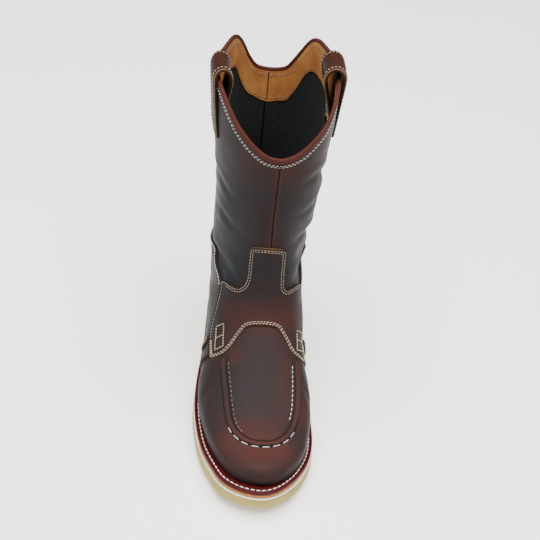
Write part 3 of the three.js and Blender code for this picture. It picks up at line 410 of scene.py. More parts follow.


# %% Tones: place, angle, radius in millimetres and amount; redder above 0, and below 0 greyer and darker, a painted grey-blue sheen and shade
TONES = [
    (12.1, -16, 17, 0.12), (11.9, 2, 16, 0.1), (12.0, 18, 17, 0.12), (13.0, -40, 18, 0.15),
    (12.9, 34, 18, 0.2), (6.4, -6, 16, 0.2), (8.8, 19, 11, 0.2), (9.8, 24, 10, 0.2),
    (4.3, -6, 17, 0.5), (4.7, 22, 15, 0.35), (5.6, -44, 14, 0.3), (7.6, 52, 16, 0.25),
    (10.2, -30, 10, 0.2), (9.0, -56, 20, -0.15), (8.9, -4, 17, -0.08), (19.0, -60, 34, -0.45),
    (22.0, -66, 34, -0.35), (16.2, -50, 20, -0.45), (16.4, 46, 20, -0.35),
    (20.5, 58, 30, -0.25), (15.2, -2, 12, -0.15), (16.3, 0, 8, 0.1), (23.9, 10, 11, 0.1),
    (24.8, 42, 14, 0.1), (24.4, -30, 12, 0.15), (18.4, 10, 12, 0.08), (16.0, 150, 36, 0.25),
    (20.0, 120, 30, -0.2), (22.5, 180, 34, 0.15), (14.5, 75, 24, -0.3), (13.5, -75, 24, -0.35),
    (21.0, 0, 26, -0.1),
]
SEAM_ANGLE = 0.6
PLAIN_TONE = 0.45
front_seam = even_line([(25.0, SEAM_ANGLE), (17.0, SEAM_ANGLE)], 2, smooth=False)


def warmth(points):
    """Tone of the leather from 0, a painted grey-blue sheen and shade, to 1, red-brown."""
    flat = points.reshape(-1, 3)
    tone = np.full(len(flat), PLAIN_TONE)
    for place, angle, radius, amount in TONES:
        gap = np.linalg.norm(flat - form_point(place, angle), axis=1)
        tone += amount * np.exp(-(gap / radius) ** 2)
    gap, _ = nearest(flat, form_point(*front_seam.T))
    tone += 0.45 * np.exp(-(gap / 3.2) ** 2)
    return np.clip(tone, 0, 1).reshape(points.shape[:-1])


print("tones at the toe, the saddle and the shaft:",
      warmth(form_point([4.3, 12, 20], [-6, 0, -60])).round(2))


# %% [markdown]
# ## Making meshes
# Every piece is a list of points and faces worked out in millimetres, then moved into the packed
# model's frame in metres. The welt's middle fixes the move, so nothing has to be fitted by eye.

# %% Welt outline
OUTLINE = table(("along", "across"), [
    (0, 0.032), (0.014, -0.134), (0.056, -0.284), (0.121, -0.375), (0.2, -0.451),
    (0.3, -0.497), (0.4, -0.512), (0.493, -0.496), (0.578, -0.466), (0.66, -0.44),
    (0.75, -0.42), (0.84, -0.406), (0.915, -0.365), (0.967, -0.268), (0.995, -0.125),
    (1, -0.012), (0.995, 0.1), (0.968, 0.243), (0.918, 0.346), (0.843, 0.39),
    (0.755, 0.4), (0.67, 0.405), (0.58, 0.418), (0.5, 0.44), (0.41, 0.466),
    (0.315, 0.486), (0.228, 0.481), (0.154, 0.437), (0.08, 0.338), (0.033, 0.229),
    (0.01, 0.14),
])


def outline_ring(steps):
    """The welt's edge as evenly spaced points, and the way along it."""
    knots = np.stack([OUTLINE["across"] * SOLE_WIDTH, OUTLINE["along"] * SOLE_LENGTH], -1)
    fine = []
    for i in range(len(knots)):
        a, b, c, d = knots[[i - 1, i, (i + 1) % len(knots), (i + 2) % len(knots)]]
        ab, bc, cd = [np.linalg.norm(q - p) ** 0.5 for p, q in ((a, b), (b, c), (c, d))]
        rise = ((b - a) / ab - (c - a) / (ab + bc) + (c - b) / bc) * bc
        after = ((c - b) / bc - (d - b) / (bc + cd) + (d - c) / cd) * bc
        s = np.linspace(0, 1, 60, endpoint=False)[:, None]
        fine.append(b + s * rise + s ** 2 * (3 * (c - b) - 2 * rise - after)
                    + s ** 3 * (2 * (b - c) + rise + after))
    fine = np.vstack(fine + [fine[0][:1]])
    reach = reach_along(fine)
    even = np.linspace(0, reach[-1], steps, endpoint=False)
    edge = at_reach(even, reach, fine)
    return edge, unit(np.roll(edge, -1, 0) - np.roll(edge, 1, 0)), even


RING_STEPS = 1440
ring, ring_way, ring_reach = outline_ring(RING_STEPS)
ring_in = np.stack([ring_way[:, 1], -ring_way[:, 0]], -1)
low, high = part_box("welt")
welt_middle = (ring.min(0) + ring.max(0)) / 2
MOVE = np.array([500 * (low.x + high.x) - welt_middle[0],
                 500 * (low.y + high.y) - welt_middle[1], 0.0])
print("move into the frame, mm:", MOVE.round(2))


# %% Mesh helpers
def grid_faces(rows, columns, wrap=False):
    """Four-sided faces over rows of points; with wrap each row is a closed ring."""
    r, c = np.meshgrid(np.arange(rows - 1), np.arange(columns if wrap else columns - 1),
                       indexing="ij")
    after = (c + 1) % columns
    return np.stack([r * columns + c, r * columns + after,
                     (r + 1) * columns + after, (r + 1) * columns + c], -1).reshape(-1, 4)


def hoop_faces(rows, columns):
    """Faces over closed rings whose last ring joins the first."""
    return grid_faces(rows + 1, columns, wrap=True) % (rows * columns)


def piece(name, points, faces, materials, sharp=50, attributes=None, indices=None):
    """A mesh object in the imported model's frame, riding on the boot."""
    mesh = bpy.data.meshes.new(name)
    points = (np.asarray(points, float).reshape(-1, 3) + MOVE) / 1000
    faces = faces.tolist() if isinstance(faces, np.ndarray) else faces
    mesh.from_pydata(points.tolist(), [], faces)
    for key, values in (attributes or {}).items():
        layer = mesh.attributes.new(key, "FLOAT", "POINT")
        layer.data.foreach_set("value", np.asarray(values, np.float32).ravel())
    for material in materials:
        mesh.materials.append(material)
    if indices is not None:
        mesh.polygons.foreach_set("material_index", np.asarray(indices, np.int32))
    mesh.validate()
    mesh.polygons.foreach_set("use_smooth", [True] * len(mesh.polygons))
    mesh.set_sharp_from_angle(angle=math.radians(sharp))
    thing = bpy.data.objects.new(name, mesh)
    bpy.context.scene.collection.objects.link(thing)
    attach(thing, "root")
    print(f"{name}: {len(mesh.vertices)} points, {len(mesh.polygons)} faces")
    return thing


# %% [markdown]
# ## Finishes
# Each finish starts from the real stuff. The hide is full-grain cattle leather, drum dyed and
# stuffed with oil and wax: a fine grain, hardly any gloss, and patches where the pull of the wax
# shows. Colours are read as sRGB hex values and turned to linear by one function.


# %% Colour and node helpers
def colour(text):
    parts = [int(text[i:i + 2], 16) / 255 for i in (1, 3, 5)]
    return tuple(c / 12.92 if c <= 0.04045 else ((c + 0.055) / 1.055) ** 2.4 for c in parts) + (1,)


def new_finish(name):
    material = bpy.data.materials.new(name)
    material.use_nodes = True
    return material, material.node_tree.nodes["Principled BSDF"]


def add(material, kind, inputs=None, **settings):
    """Adds a node with its settings; an input that is a socket is linked, another is set."""
    node = material.node_tree.nodes.new(kind)
    for key, value in settings.items():
        setattr(node, key, value)
    for key, value in (inputs or {}).items():
        if isinstance(value, bpy.types.NodeSocket):
            material.node_tree.links.new(value, node.inputs[key])
        else:
            node.inputs[key].default_value = value
    return node


def link(material, output, shader, name):
    material.node_tree.links.new(output, shader.inputs[name])


def per_mm(size):
    """Texture scale, in object space in metres, for a pattern of this size in millimetres."""
    return 1000 / size


# %% Oiled pull-up leather
def oiled_leather(name, tones, grain=1.1, roughness=(0.4, 0.56), depth=0.00018):
    material, shader = new_finish(name)
    place = add(material, "ShaderNodeTexCoord").outputs["Object"]
    tone = add(material, "ShaderNodeAttribute", attribute_name="warmth").outputs["Fac"]
    clouds = add(material, "ShaderNodeTexNoise", {
        "Vector": place, "Scale": per_mm(30), "Detail": 5, "Roughness": 0.6}).outputs["Fac"]
    mottle = add(material, "ShaderNodeMath", {0: clouds, 1: 0.5, 2: -0.25},
                 operation="MULTIPLY_ADD").outputs[0]
    mixed = add(material, "ShaderNodeMath", {0: tone, 1: mottle}).outputs[0]
    ramp = add(material, "ShaderNodeValToRGB", {"Fac": mixed})
    ramp.color_ramp.elements.new(0.5)
    for stop, (at, shade) in zip(ramp.color_ramp.elements, tones):
        stop.position = at
        stop.color = colour(shade)
    pores = add(material, "ShaderNodeTexVoronoi", {
        "Vector": place, "Scale": per_mm(grain)}).outputs["Distance"]
    fine = add(material, "ShaderNodeTexNoise", {
        "Vector": place, "Scale": per_mm(0.8), "Detail": 3}).outputs["Fac"]
    height = add(material, "ShaderNodeMath", {0: pores, 1: 0.8, 2: fine},
                 operation="MULTIPLY_ADD").outputs[0]
    bump = add(material, "ShaderNodeBump", {
        "Height": height, "Strength": 0.5, "Distance": depth}).outputs["Normal"]
    gloss = add(material, "ShaderNodeMapRange", {
        "Value": clouds, "From Min": 0.3, "From Max": 0.7,
        "To Min": roughness[0], "To Max": roughness[1]}).outputs["Result"]
    link(material, ramp.outputs["Color"], shader, "Base Color")
    link(material, gloss, shader, "Roughness")
    link(material, bump, shader, "Normal")
    shader.inputs["IOR"].default_value = 1.48
    shader.inputs["Specular IOR Level"].default_value = 0.03
    return material


# Full-grain cattle hide, drum dyed and stuffed with oil and wax: nearly matt, mottled, redder
# where the wax is pulled, and grey-blue where a sheen is painted in at the low end of the tones.
# Real pores are about 0.3 mm; they are drawn coarser so that they show.
hide = oiled_leather("oiled_pull_up_leather", (
    (0.05, "#1e2022"), (0.45, "#2a2121"), (1.0, "#40241f")))
# The same hide, skived thin and folded over the edge: stretched, so it turns red-brown
binding_hide = oiled_leather("folded_binding_leather", (
    (0.1, "#341a17"), (0.45, "#3e201b"), (0.95, "#4c2a23")), grain=0.8)
# Two layers of harder waxed strap leather: nearly black, browner where it bends over the loop
strap_hide = oiled_leather("strap_leather", (
    (0.1, "#121212"), (0.45, "#1a1413"), (0.95, "#2f1b15")), grain=0.9)
print("oiled leathers:", hide.name, binding_hide.name, strap_hide.name)


# %% Plain leathers, rubber, lining and thread
def plain_finish(name, shade, other, patch, roughness, grain, depth, sheen=0.0,
                 stretch=(1, 1, 1), specular=0.4):
    """Two close tones in patches, with a bump of a given grain in millimetres."""
    material, shader = new_finish(name)
    place = add(material, "ShaderNodeTexCoord").outputs["Object"]
    place = add(material, "ShaderNodeMapping", {"Vector": place, "Scale": stretch}).outputs[0]
    clouds = add(material, "ShaderNodeTexNoise", {
        "Vector": place, "Scale": per_mm(patch), "Detail": 5}).outputs["Fac"]
    ramp = add(material, "ShaderNodeValToRGB", {"Fac": clouds})
    for stop, at, tone in zip(ramp.color_ramp.elements, (0.32, 0.68), (shade, other)):
        stop.position = at
        stop.color = colour(tone)
    fine = add(material, "ShaderNodeTexNoise", {
        "Vector": place, "Scale": per_mm(grain), "Detail": 4}).outputs["Fac"]
    bump = add(material, "ShaderNodeBump", {
        "Height": fine, "Strength": 0.6, "Distance": depth}).outputs["Normal"]
    link(material, ramp.outputs["Color"], shader, "Base Color")
    link(material, bump, shader, "Normal")
    shader.inputs["Roughness"].default_value = roughness
    shader.inputs["Sheen Weight"].default_value = sheen
    shader.inputs["Specular IOR Level"].default_value = specular
    return material


# Vegetable-tanned lining leather, left undyed: warm tan, with soft wrinkles in place of pores
tan_lining = plain_finish("tan_lining_leather", "#85512c", "#a6713c", 15, 0.6, 2.2, 0.0006,
                          stretch=(1, 1, 0.6), specular=0.15)
# A knife's cut left raw: the pale fibres of the hide's middle show as a thin tan line
cut_edge = plain_finish("raw_cut_leather_edge", "#4d3820", "#6b4f2c", 3, 0.75, 0.7, 0.0002)
# Dark cut edge: the panel's edge painted dark, a painted shadow line where the edge meets the
# leather below
edge_shadow_finish = plain_finish("painted_edge_shadow", "#211713", "#33241b", 3, 0.75, 0.7, 0.0002,
                         specular=0.15)
# Leather board ground flat: grey-brown and matt
insole_board = plain_finish("insole_leather", "#3a3532", "#57504a", 8, 0.7, 1.0, 0.0002)
# A leather strip dyed right through and waxed: oxblood red with a soft gloss
welt_hide = plain_finish("dyed_welt_leather", "#300708", "#450b0b", 6, 0.45, 1.0, 0.00015,
                         specular=0.12)
# Sole leather ground and burnished with wax: orange-brown, streaked along its layers
midsole_hide = plain_finish("burnished_midsole_edge", "#925115", "#ba7229", 5, 0.5, 0.9,
                            0.0002, stretch=(1, 1, 4), specular=0.25)
# Rubber calendered into a smooth strip: an even, slightly yellow white
white_rubber = plain_finish("white_foxing_rubber", "#d2d2c0", "#e2e2d4", 10, 0.6, 1.0, 0.00008)
# Knitted polyester mesh: black and dull; its holes are drawn coarser so that they show
mesh_lining = plain_finish("black_mesh_lining", "#161818", "#232525", 2.0, 0.9, 1.3, 0.0004,
                           sheen=0.03, specular=0.08)
print("plain finishes:", [finish.name for finish in (
    tan_lining, cut_edge, edge_shadow_finish, insole_board, welt_hide, midsole_hide, white_rubber,
    mesh_lining)])


# %% Threads
def thread(name, shade, other, roughness, specular=0.4):
    """Waxed polyester thread; its twist is too fine to show, so coarser patches stand for it."""
    return plain_finish(name, shade, other, 2, roughness, 0.4, 0.0001, specular=specular)


# Drawn through wax before sewing: a soft gloss, and cream soiled by the leather's own oil
waxed_thread = thread("waxed_polyester_thread", "#83735f", "#aa9a83", 0.55)
dull_thread = thread("dull_waxed_thread", "#66584a", "#8b7c69", 0.6)
# Finer thread of the collar and counter: greyer, and cleaner than the rows lower down
collar_thread = thread("collar_thread", "#9a958b", "#bdb8ae", 0.5)
# Thick bleached thread of the welt and moc toe: nearly white, the brightest line on the boot
bright_thread = thread("white_welt_thread", "#cfcabd", "#ebe7dc", 0.5)
# Black thread of the closed seams; the same dark finish is laid as painted shadow in the moc
# ridge's fold and foot and in the shaft seams' grooves
dark_thread_and_shadow = thread("dark_seam_thread_and_shadow", "#0a0707", "#140d0c", 0.7, specular=0.03)
print("threads:", [made.name for made in (
    waxed_thread, dull_thread, collar_thread, bright_thread, dark_thread_and_shadow)])

# %% [markdown]
# Crepe rubber is moulded with fine slanting ribs on its side wall, about 1.6 mm apart. Each
# point of the wall knows how far round the sole it lies, so the ribs can follow the edge.

# %% Ribbed crepe rubber
# Natural crepe crumb, moulded warm: creamy tan, pitted and quite matt
crepe, crepe_shader = new_finish("moulded_crepe_rubber")
rib_phase = add(crepe, "ShaderNodeAttribute", attribute_name="rib").outputs["Fac"]
rib_wave = add(crepe, "ShaderNodeMath", {0: rib_phase}, operation="SINE").outputs[0]
crepe_place = add(crepe, "ShaderNodeTexCoord").outputs["Object"]
crumb = add(crepe, "ShaderNodeTexNoise", {
    "Vector": crepe_place, "Scale": per_mm(1.5), "Detail": 5}).outputs["Fac"]
rib_height = add(crepe, "ShaderNodeMath", {0: rib_wave, 1: 0.35, 2: crumb},
                 operation="MULTIPLY_ADD").outputs[0]
crepe_bump = add(crepe, "ShaderNodeBump", {
    "Height": rib_height, "Strength": 0.7, "Distance": 0.0004}).outputs["Normal"]
crepe_clouds = add(crepe, "ShaderNodeTexNoise", {
    "Vector": crepe_place, "Scale": per_mm(18), "Detail": 4}).outputs["Fac"]
crepe_ramp = add(crepe, "ShaderNodeValToRGB", {"Fac": crepe_clouds})
for stop, at, tone in zip(crepe_ramp.color_ramp.elements, (0.3, 0.7), ("#9a8640", "#aa9652")):
    stop.position = at
    stop.color = colour(tone)
link(crepe, crepe_ramp.outputs["Color"], crepe_shader, "Base Color")
link(crepe, crepe_bump, crepe_shader, "Normal")
crepe_shader.inputs["Roughness"].default_value = 0.8
print("rubber:", crepe.name)

# %% [markdown]
# ## The upper
# The vamp, plug and shaft are one smooth skin over the form. Its last row lies on the top line
# and its lowest row stands on the welt. The toe is closed by a few shrinking rings.


# %% Upper and lining
def shaft_rows(rows, angles, offset):
    """Places row by row, bent near the top so that the last row lies on the rim."""
    rim = rim_place(angles, offset)
    bend, end = 20.0, LAST - 1.6
    share = np.linspace(0, end, rows)[:, None]
    return np.where(share <= bend, share, bend + (share - bend) / (end - bend) * (rim - bend))


def on_welt(points, lift):
    """Points below the welt's top are set down on it."""
    floor = welt_top(points[..., 1]) + lift
    low = points[..., 2] < floor
    points[..., 2] = np.where(low, floor, points[..., 2])
    return points, low


def toe_rings(first, reach):
    """Rings that close the toe in a low dome in front of the first row."""
    middle = first.mean(0)
    return np.array([middle + (first - middle) * size - [0, reach * (1 - size ** 2), 0]
                     for size in (0.05, 0.4, 0.7, 0.9)])


def shell(rows, columns, offset, carry_relief, lift, dome):
    """Points, faces and bare form of one skin from the toe to the rim."""
    angles = np.linspace(-180, 180, columns, endpoint=False)
    places = shaft_rows(rows, angles, offset)
    base = form_point(places, angles)
    points, _ = skin(places, angles, offset + (relief(base) if carry_relief else 0.0))
    points = np.concatenate([toe_rings(points[0], dome), points])
    base = np.concatenate([toe_rings(base[0], 1.2), base])
    points, low = on_welt(points, lift)
    faces = grid_faces(len(points), columns, wrap=True)
    return points, faces[~low.ravel()[faces].all(1)], base


hide_points, hide_faces, hide_base = shell(
    rows=300, columns=250, offset=0.0, carry_relief=True, lift=GAP, dome=1.2)
upper = piece("upper_leather", hide_points, hide_faces, [hide], 70,
              {"warmth": warmth(hide_base)})
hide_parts("upper")

# The insole's bed is CAD, so only its finish changes
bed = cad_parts["insole"]
bed.data.materials.clear()
bed.data.materials.append(insole_board)

lining_points, lining_faces, _ = shell(
    rows=150, columns=140, offset=-2.1, carry_relief=False, lift=GAP + 4.2, dome=0.2)
piece("mesh_lining", lining_points, lining_faces[:, ::-1], [mesh_lining], 70)

# %% [markdown]
# The lining near the collar is faced with smooth tan leather, deepest between the two ears. It
# is a band between its own lower edge and the rim, less than a millimetre thick.

# %% Tan facing inside the collar
FACING = table(("angle", "low"), [
    (0, 23.3), (30, 23.7), (60, 24.8), (98, 25.4), (106, 25.9), (115, 26.1), (126, 26.25),
    (132, 26.3), (138, 26.25), (144, 26.05), (148, 25.8), (152, 25.55), (156, 25.35),
    (161, 25.15), (170, 25.1), (178, 25.05), (186, 25.1), (192, 25.2), (199, 25.3), (205, 25.5),
    (212, 25.85), (218, 26.2), (230, 26.2), (245, 25.9), (262, 25.4), (300, 24.8), (330, 23.7),
    (360, 23.3),
])
facing_angles = np.arange(0, 360, 1.5)
facing_low = smooth_row(FACING, "angle", "low", facing_angles)
facing_top = rim_place(facing_angles, -2.2)
facing_shares = np.concatenate([[0, 0], np.linspace(0.004, 1, 24)])[:, None]
facing_places = facing_low + (facing_top - facing_low) * facing_shares
facing_depth = np.where(np.arange(26)[:, None] == 0, -2.1, -2.9)
facing_points, _ = skin(facing_places, facing_angles,
                        np.broadcast_to(facing_depth, facing_places.shape))
piece("tan_facing", facing_points, grid_faces(26, len(facing_angles), wrap=True)[:, ::-1],
      [tan_lining], 60)

# %% [markdown]
# ## Stitches
# Each stitch is a short waxed thread that dips into the leather at both ends. It is drawn as a
# six-sided capsule bent along its line, and a whole row is one mesh.


# %% Stitch rows
SIDES = 6
# One stitch in seven rings: share of its length, share of its thickness, and lift
CAPSULE = np.array([(-0.5, 0.05, -0.55), (-0.46, 0.62, -0.1), (-0.33, 1.0, 0.3), (0.0, 1.08, 0.42),
                    (0.33, 1.0, 0.3), (0.46, 0.62, -0.1), (0.5, 0.05, -0.55)])
turn = np.radians(np.arange(0, 360, 360 / SIDES))[:, None]


def stitches(spots, ways_out, pitch, length, thick, start=0.0):
    """A row of stitches along a line of points, lying on the surface below them."""
    along, width, lift = CAPSULE.T
    reach = reach_along(spots)
    centres = np.arange(start + pitch / 2, reach[-1] - length / 2, pitch)
    where = centres[:, None] + along * length
    point = at_reach(where, reach, spots)
    out = unit(at_reach(where, reach, ways_out))
    side = np.cross(unit(np.gradient(point, axis=1)), out)
    middle = point + out * (lift * thick)[:, None]
    radius = (width * thick / 2)[:, None, None]
    rings = middle[:, :, None] + (side[:, :, None] * np.cos(turn)
                                  + out[:, :, None] * np.sin(turn)) * radius
    one = grid_faces(len(CAPSULE), SIDES, wrap=True)
    first = np.arange(len(centres)) * len(CAPSULE) * SIDES
    return rings.reshape(-1, 3), (one + first[:, None, None]).reshape(-1, 4)


def sew(name, rows, material):
    """Joins several rows into one piece."""
    counts = np.cumsum([0] + [len(points) for points, _ in rows])
    return piece(name, np.vstack([points for points, _ in rows]),
                 np.vstack([faces + count for (_, faces), count in zip(rows, counts)]),
                 [material], 80)


def cord(name, spots, ways_out, wide, tall, material):
    """A flat dark cord along a line of points, for a closed seam, and as a painted shadow line in
    folds and grooves.
    """
    side = np.cross(unit(np.gradient(spots, axis=0)), ways_out)
    rings = (spots[:, None] + side[:, None] * np.cos(turn) * wide / 2
             + ways_out[:, None] * np.sin(turn) * tall / 2)
    return piece(name, rings, grid_faces(len(spots), SIDES, wrap=True), [material], 80)


def on_leather(line, height):
    """Points of a line lying at a height over the form, with the leather's relief."""
    return skin(*line.T, height + relief(form_point(*line.T)))


# %% [markdown]
# ## Saddle and counter
# The saddle crosses the instep and carries a tab up the shin; the counter wraps the heel. Both
# are cut panels sewn over the upper. Each is cut out flat in places and angles, filled with an
# even net of points and laid over the form, with its rim skived to a rounded raw edge.


# %% Inside and outside of a flat cut
def inside_line(points, line):
    """Which flat points lie inside a closed flat line."""
    x, y = points.T[:, :, None]
    (x0, y0), (x1, y1) = line.T, np.roll(line, -1, 0).T
    crosses = (y0 > y) != (y1 > y)
    slope = (y1 - y0) + (y1 == y0)
    return (crosses & (x < x0 + (x1 - x0) * (y - y0) / slope)).sum(1) % 2 == 1


def inward(edge):
    """1 or -1, for the side of the edge that the leather is on."""
    x, y = edge.T
    return np.sign(np.sum(x * np.roll(y, -1) - np.roll(x, -1) * y))


def inner_ring(edge, inset, share):
    """The edge moved inward, without the spots that come too near it at a corner."""
    moved = beside(edge, inward(edge) * inset, closed=True)
    gap, _ = nearest(form_point(*moved.T), form_point(*edge.T))
    return moved[gap > share * inset]


# %% Cutting a panel
NET_SCALE = np.array([18.0, 0.95])  # about how many millimetres a place and a degree are
NET_STEP = 2.2
EDGE_RADIUS = 1.0


def cut_out(edge):
    """Flat points and triangles that fill the edge, closer together near it."""
    rings = [inner_ring(edge, inset, 0.85) for inset in (0.3, 0.7, 1.3, 2.3)]
    rings = [spots[inside_line(spots, edge)] for spots in rings]
    (first, left), (last, right) = edge.min(0), edge.max(0)
    net = np.stack(np.meshgrid(np.arange(first, last, NET_STEP / NET_SCALE[0]),
                               np.arange(left, right, NET_STEP / NET_SCALE[1])), -1)
    net = net.reshape(-1, 2)
    net = net[inside_line(net, edge)]
    net = net[nearest(form_point(*net.T), form_point(*edge.T))[0] > 3.2]
    flat = np.vstack([edge, *rings, net]) * NET_SCALE
    cut = delaunay_2d_cdt([Vector(p) for p in flat], [], [list(range(len(edge)))], 1, 1e-5)
    return (np.array([tuple(v) for v in cut[0]]) / NET_SCALE,
            np.array([f for f in cut[2] if len(f) == 3]))


def panel(name, edge, cut_finish, replaced):
    """Leather cut along a closed line of places and angles and laid over the form."""
    spots, faces = cut_out(edge)
    where = form_point(*spots.T)
    gap, _ = nearest(where, form_point(*edge.T))
    part = np.clip(np.where(gap < 0.12, 0.0, gap) / EDGE_RADIUS, 0, 1)
    height = GAP + OVERLAY * (0.5 + 0.5 * np.sqrt(1 - (1 - part) ** 2))
    top, out = on_leather(spots, height)
    a, b, c = top[faces].transpose(1, 0, 2)
    if (np.cross(b - a, c - a) * out[faces[:, 0]]).sum() < 0:
        faces = faces[:, ::-1]
    wall_top, _ = on_leather(edge, GAP + OVERLAY * 0.5)
    wall_foot, _ = on_leather(edge, 0.02)
    points, _ = on_welt(np.vstack([top, wall_top, wall_foot]), GAP)
    n = len(edge)
    i = len(spots) + np.arange(n)
    j = np.roll(i, -1)
    wall = np.stack([i, n + i, n + j, j], -1)[:, ::int(inward(edge))]
    tone = np.concatenate([warmth(where), np.full(2 * n, 0.5)])
    # The walls along the saddle's upper edges take the dark finish, a painted shadow line
    shadowed_arms = (edge[:, 0] > 13.6) & (edge[:, 0] < edge[:, 0].max() - 0.2)
    indices = np.concatenate([np.zeros(len(faces), int), 1 + shadowed_arms])
    made = piece(name, points, faces.tolist() + wall.tolist(), [hide, cut_finish, edge_shadow_finish],
                 60, {"warmth": tone}, indices)
    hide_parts(replaced)


# %% Saddle
SIDE_SEAM = table(("place", "angle"), [
    (10.2, 57), (10.84, 59), (11.54, 62.3), (12.23, 65), (12.85, 66.5),
    (13.3, 64.5), (13.83, 60.5), (14.44, 57.5), (15.06, 56), (15.7, 57.5),
])
SADDLE = table(("angle", "low", "high"), [
    (-70, 10.64, 15.6), (-57, 10.62, 15.48), (-50, 10.45, 15.2), (-42, 10.43, 14.74),
    (-36, 10.54, 14.45), (-31, 10.78, 14.36), (-27, 11.07, 14.46), (-24.6, 11.25, 14.75),
    (-23.6, 11.33, 15.3), (-23.2, 11.35, 16.9), (-21.5, 11.48, 17.16), (-18, 11.66, 17.14),
    (-3, 11.66, 17.02), (11, 11.6, 17.04), (15, 11.38, 17.06), (19.4, 11.03, 17),
    (20.4, 10.97, 16.7), (20.8, 10.93, 14.6), (22, 10.85, 14.3), (25, 10.6, 14.2),
    (31, 10.4, 14.42), (38, 10.36, 14.76), (47, 10.34, 15.16), (57, 10.45, 15.5),
    (70, 10.5, 15.6),
])


def seam_angle(place):
    return smooth_row(SIDE_SEAM, "place", "angle", place)


def joined(*parts, step):
    """One closed edge of smooth parts that meet at corners."""
    return np.vstack([even_line(part, step)[:-1] for part in parts])


def saddle_edge():
    inner = np.abs(SADDLE["angle"]) < 56
    angle = SADDLE["angle"][inner]
    low = list(zip(SADDLE["low"][inner], angle))
    high = list(zip(SADDLE["high"][inner], angle))
    seam = np.linspace(10.55, 15.4, 12)
    right = list(zip(seam, seam_angle(seam)))
    left = [(place, -angle) for place, angle in right]
    return joined([left[0]] + low + [right[0]], right,
                  [right[-1]] + high[::-1] + [left[-1]], left[::-1], step=1.0)


saddle_line = saddle_edge()
panel("saddle_leather", saddle_line, cut_edge, "saddle")


# %% Counter
COUNTER = table(("angle", "low", "high"), [
    (55.5, 10.95, 15.72), (58, 10.95, 15.76), (64, 11, 16.4), (70, 11.1, 17.15),
    (78, 11.25, 18), (90, 11.55, 18.9), (104, 11.9, 19.6), (120, 12.4, 20.25),
    (136, 12.8, 20.85), (152, 13.2, 21.35), (166, 13.4, 21.6), (180, 13.5, 21.7),
])


def counter_edge():
    angles = np.arange(60.0, 300.1, 2.0)
    folded = np.where(angles > 180, 360 - angles, angles)
    high = smooth_row(COUNTER, "angle", "high", folded)
    low = smooth_row(COUNTER, "angle", "low", folded)

    def clear(place):
        point, _ = skin(place, angles, GAP + OVERLAY)
        return point[:, 2] > welt_top(point[:, 1]) + 0.5
    standing = halve(low, high, clear)
    low = np.where(clear(low), low, standing)
    seam = np.linspace(11.05, 15.66, 12)
    front = list(zip(seam, seam_angle(seam) + 1.3))
    back = [(place, 360 - angle) for place, angle in front]
    top = [front[-1]] + list(zip(high, angles))[1:-1] + [back[-1]]
    foot = [back[0]] + list(zip(low, angles))[::-1][1:-1] + [front[0]]
    return joined(front, top, back[::-1], foot, step=1.2)


counter_line = counter_edge()
# The counter's whole edge takes the dark finish, a painted shadow line
panel("counter_leather", counter_line, edge_shadow_finish, "counter")

# %% [markdown]
# Two close rows of cream stitches follow the saddle's upper and lower edges, and one row the
# counter's edge. The two rows of a pair are half a stitch apart, as a two-needle machine leaves
# them.


# %% Rows along a panel's edge
TOP_OF_PANEL = GAP + OVERLAY


def panel_row(edge, inset, wanted, pitch=3.0, length=2.4, thick=0.7, start=0.0):
    """Stitches beside the edge, in runs where a row is wanted."""
    line = inner_ring(edge, inset, 0.93)
    keep = wanted(line)
    first = int(np.argmin(keep))
    line, keep = np.roll(line, -first, 0), np.roll(keep, -first)
    cuts = np.flatnonzero(np.diff(keep.astype(int))) + 1
    return [stitches(*on_leather(run, TOP_OF_PANEL), pitch, length, thick, start)
            for run, kept in zip(np.split(line, cuts), np.split(keep, cuts))
            if kept[0] and len(run) > 5]


# %% Where each row runs, and the panel stitches
def by_seam(points):
    return np.abs(points[:, 1]) > seam_angle(points[:, 0]) - 5.5


def at_front(points):
    return (points[:, 0] < 13.6) & ~by_seam(points) | (points[:, 0] < 12.0)


def above_seam(points):
    return (points[:, 0] > 15.0) & (form_point(*points.T)[:, 2] > 60)


sew("saddle_lower_stitches",
    panel_row(saddle_line, 1.6, at_front, thick=0.85)
    + panel_row(saddle_line, 3.3, at_front, thick=0.85, start=1.5), waxed_thread)
sew("saddle_upper_stitches",
    panel_row(saddle_line, 1.5, lambda p: ~at_front(p))
    + panel_row(saddle_line, 3.5, lambda p: ~at_front(p) & ~by_seam(p), start=1.5), dull_thread)
sew("counter_stitches",
    panel_row(counter_line, 1.8, above_seam, pitch=3.2, length=2.3, thick=0.85), collar_thread)

BOXES = [
    [(12.53, -55.4), (12.4, -45.3), (10.9, -41.6), (10.9, -51.5)],
    [(12.1, 43.4), (12.62, 61.5), (11.13, 54.8), (10.75, 37.5)],
]
box_rows = []
for corners in BOXES:
    corners = np.array(corners)
    middle = [(corners[0] + corners[3]) / 2, (corners[1] + corners[2]) / 2]
    for line in (np.vstack([corners, corners[:1]]), np.array(middle)):
        line = even_line(line, 0.8, smooth=False)
        box_rows.append(stitches(*on_leather(line, TOP_OF_PANEL), 2.8, 2.3, 0.95))
sew("box_stitches", box_rows, waxed_thread)

# %% [markdown]
# ## Moc seam
# On a moc toe the plug is sewn to the vamp with the edges turned up, which raises a ridge. It
# shows as two rolls, drawn together a little at each long stitch, with a dark line between them:
# the shadow in the fold, painted in.

# %% Moc ridge
MOC = [
    (10.22, -40), (9.5, -38.3), (8.6, -36.4), (7.6, -35.6), (6.85, -34.2),
    (6.25, -30.2), (5.75, -22.5), (5.4, -13.5), (5.23, -2), (5.35, 8.5),
    (5.75, 19), (6.25, 26), (6.95, 32), (7.75, 34.8), (8.7, 35.2),
    (9.5, 35.7), (10.15, 36.6),
]
MOC_STEP = 0.8
RIDGE_WIDTH = 7.0
RIDGE_HEIGHT = 2.5
moc_line = even_line(MOC, MOC_STEP)
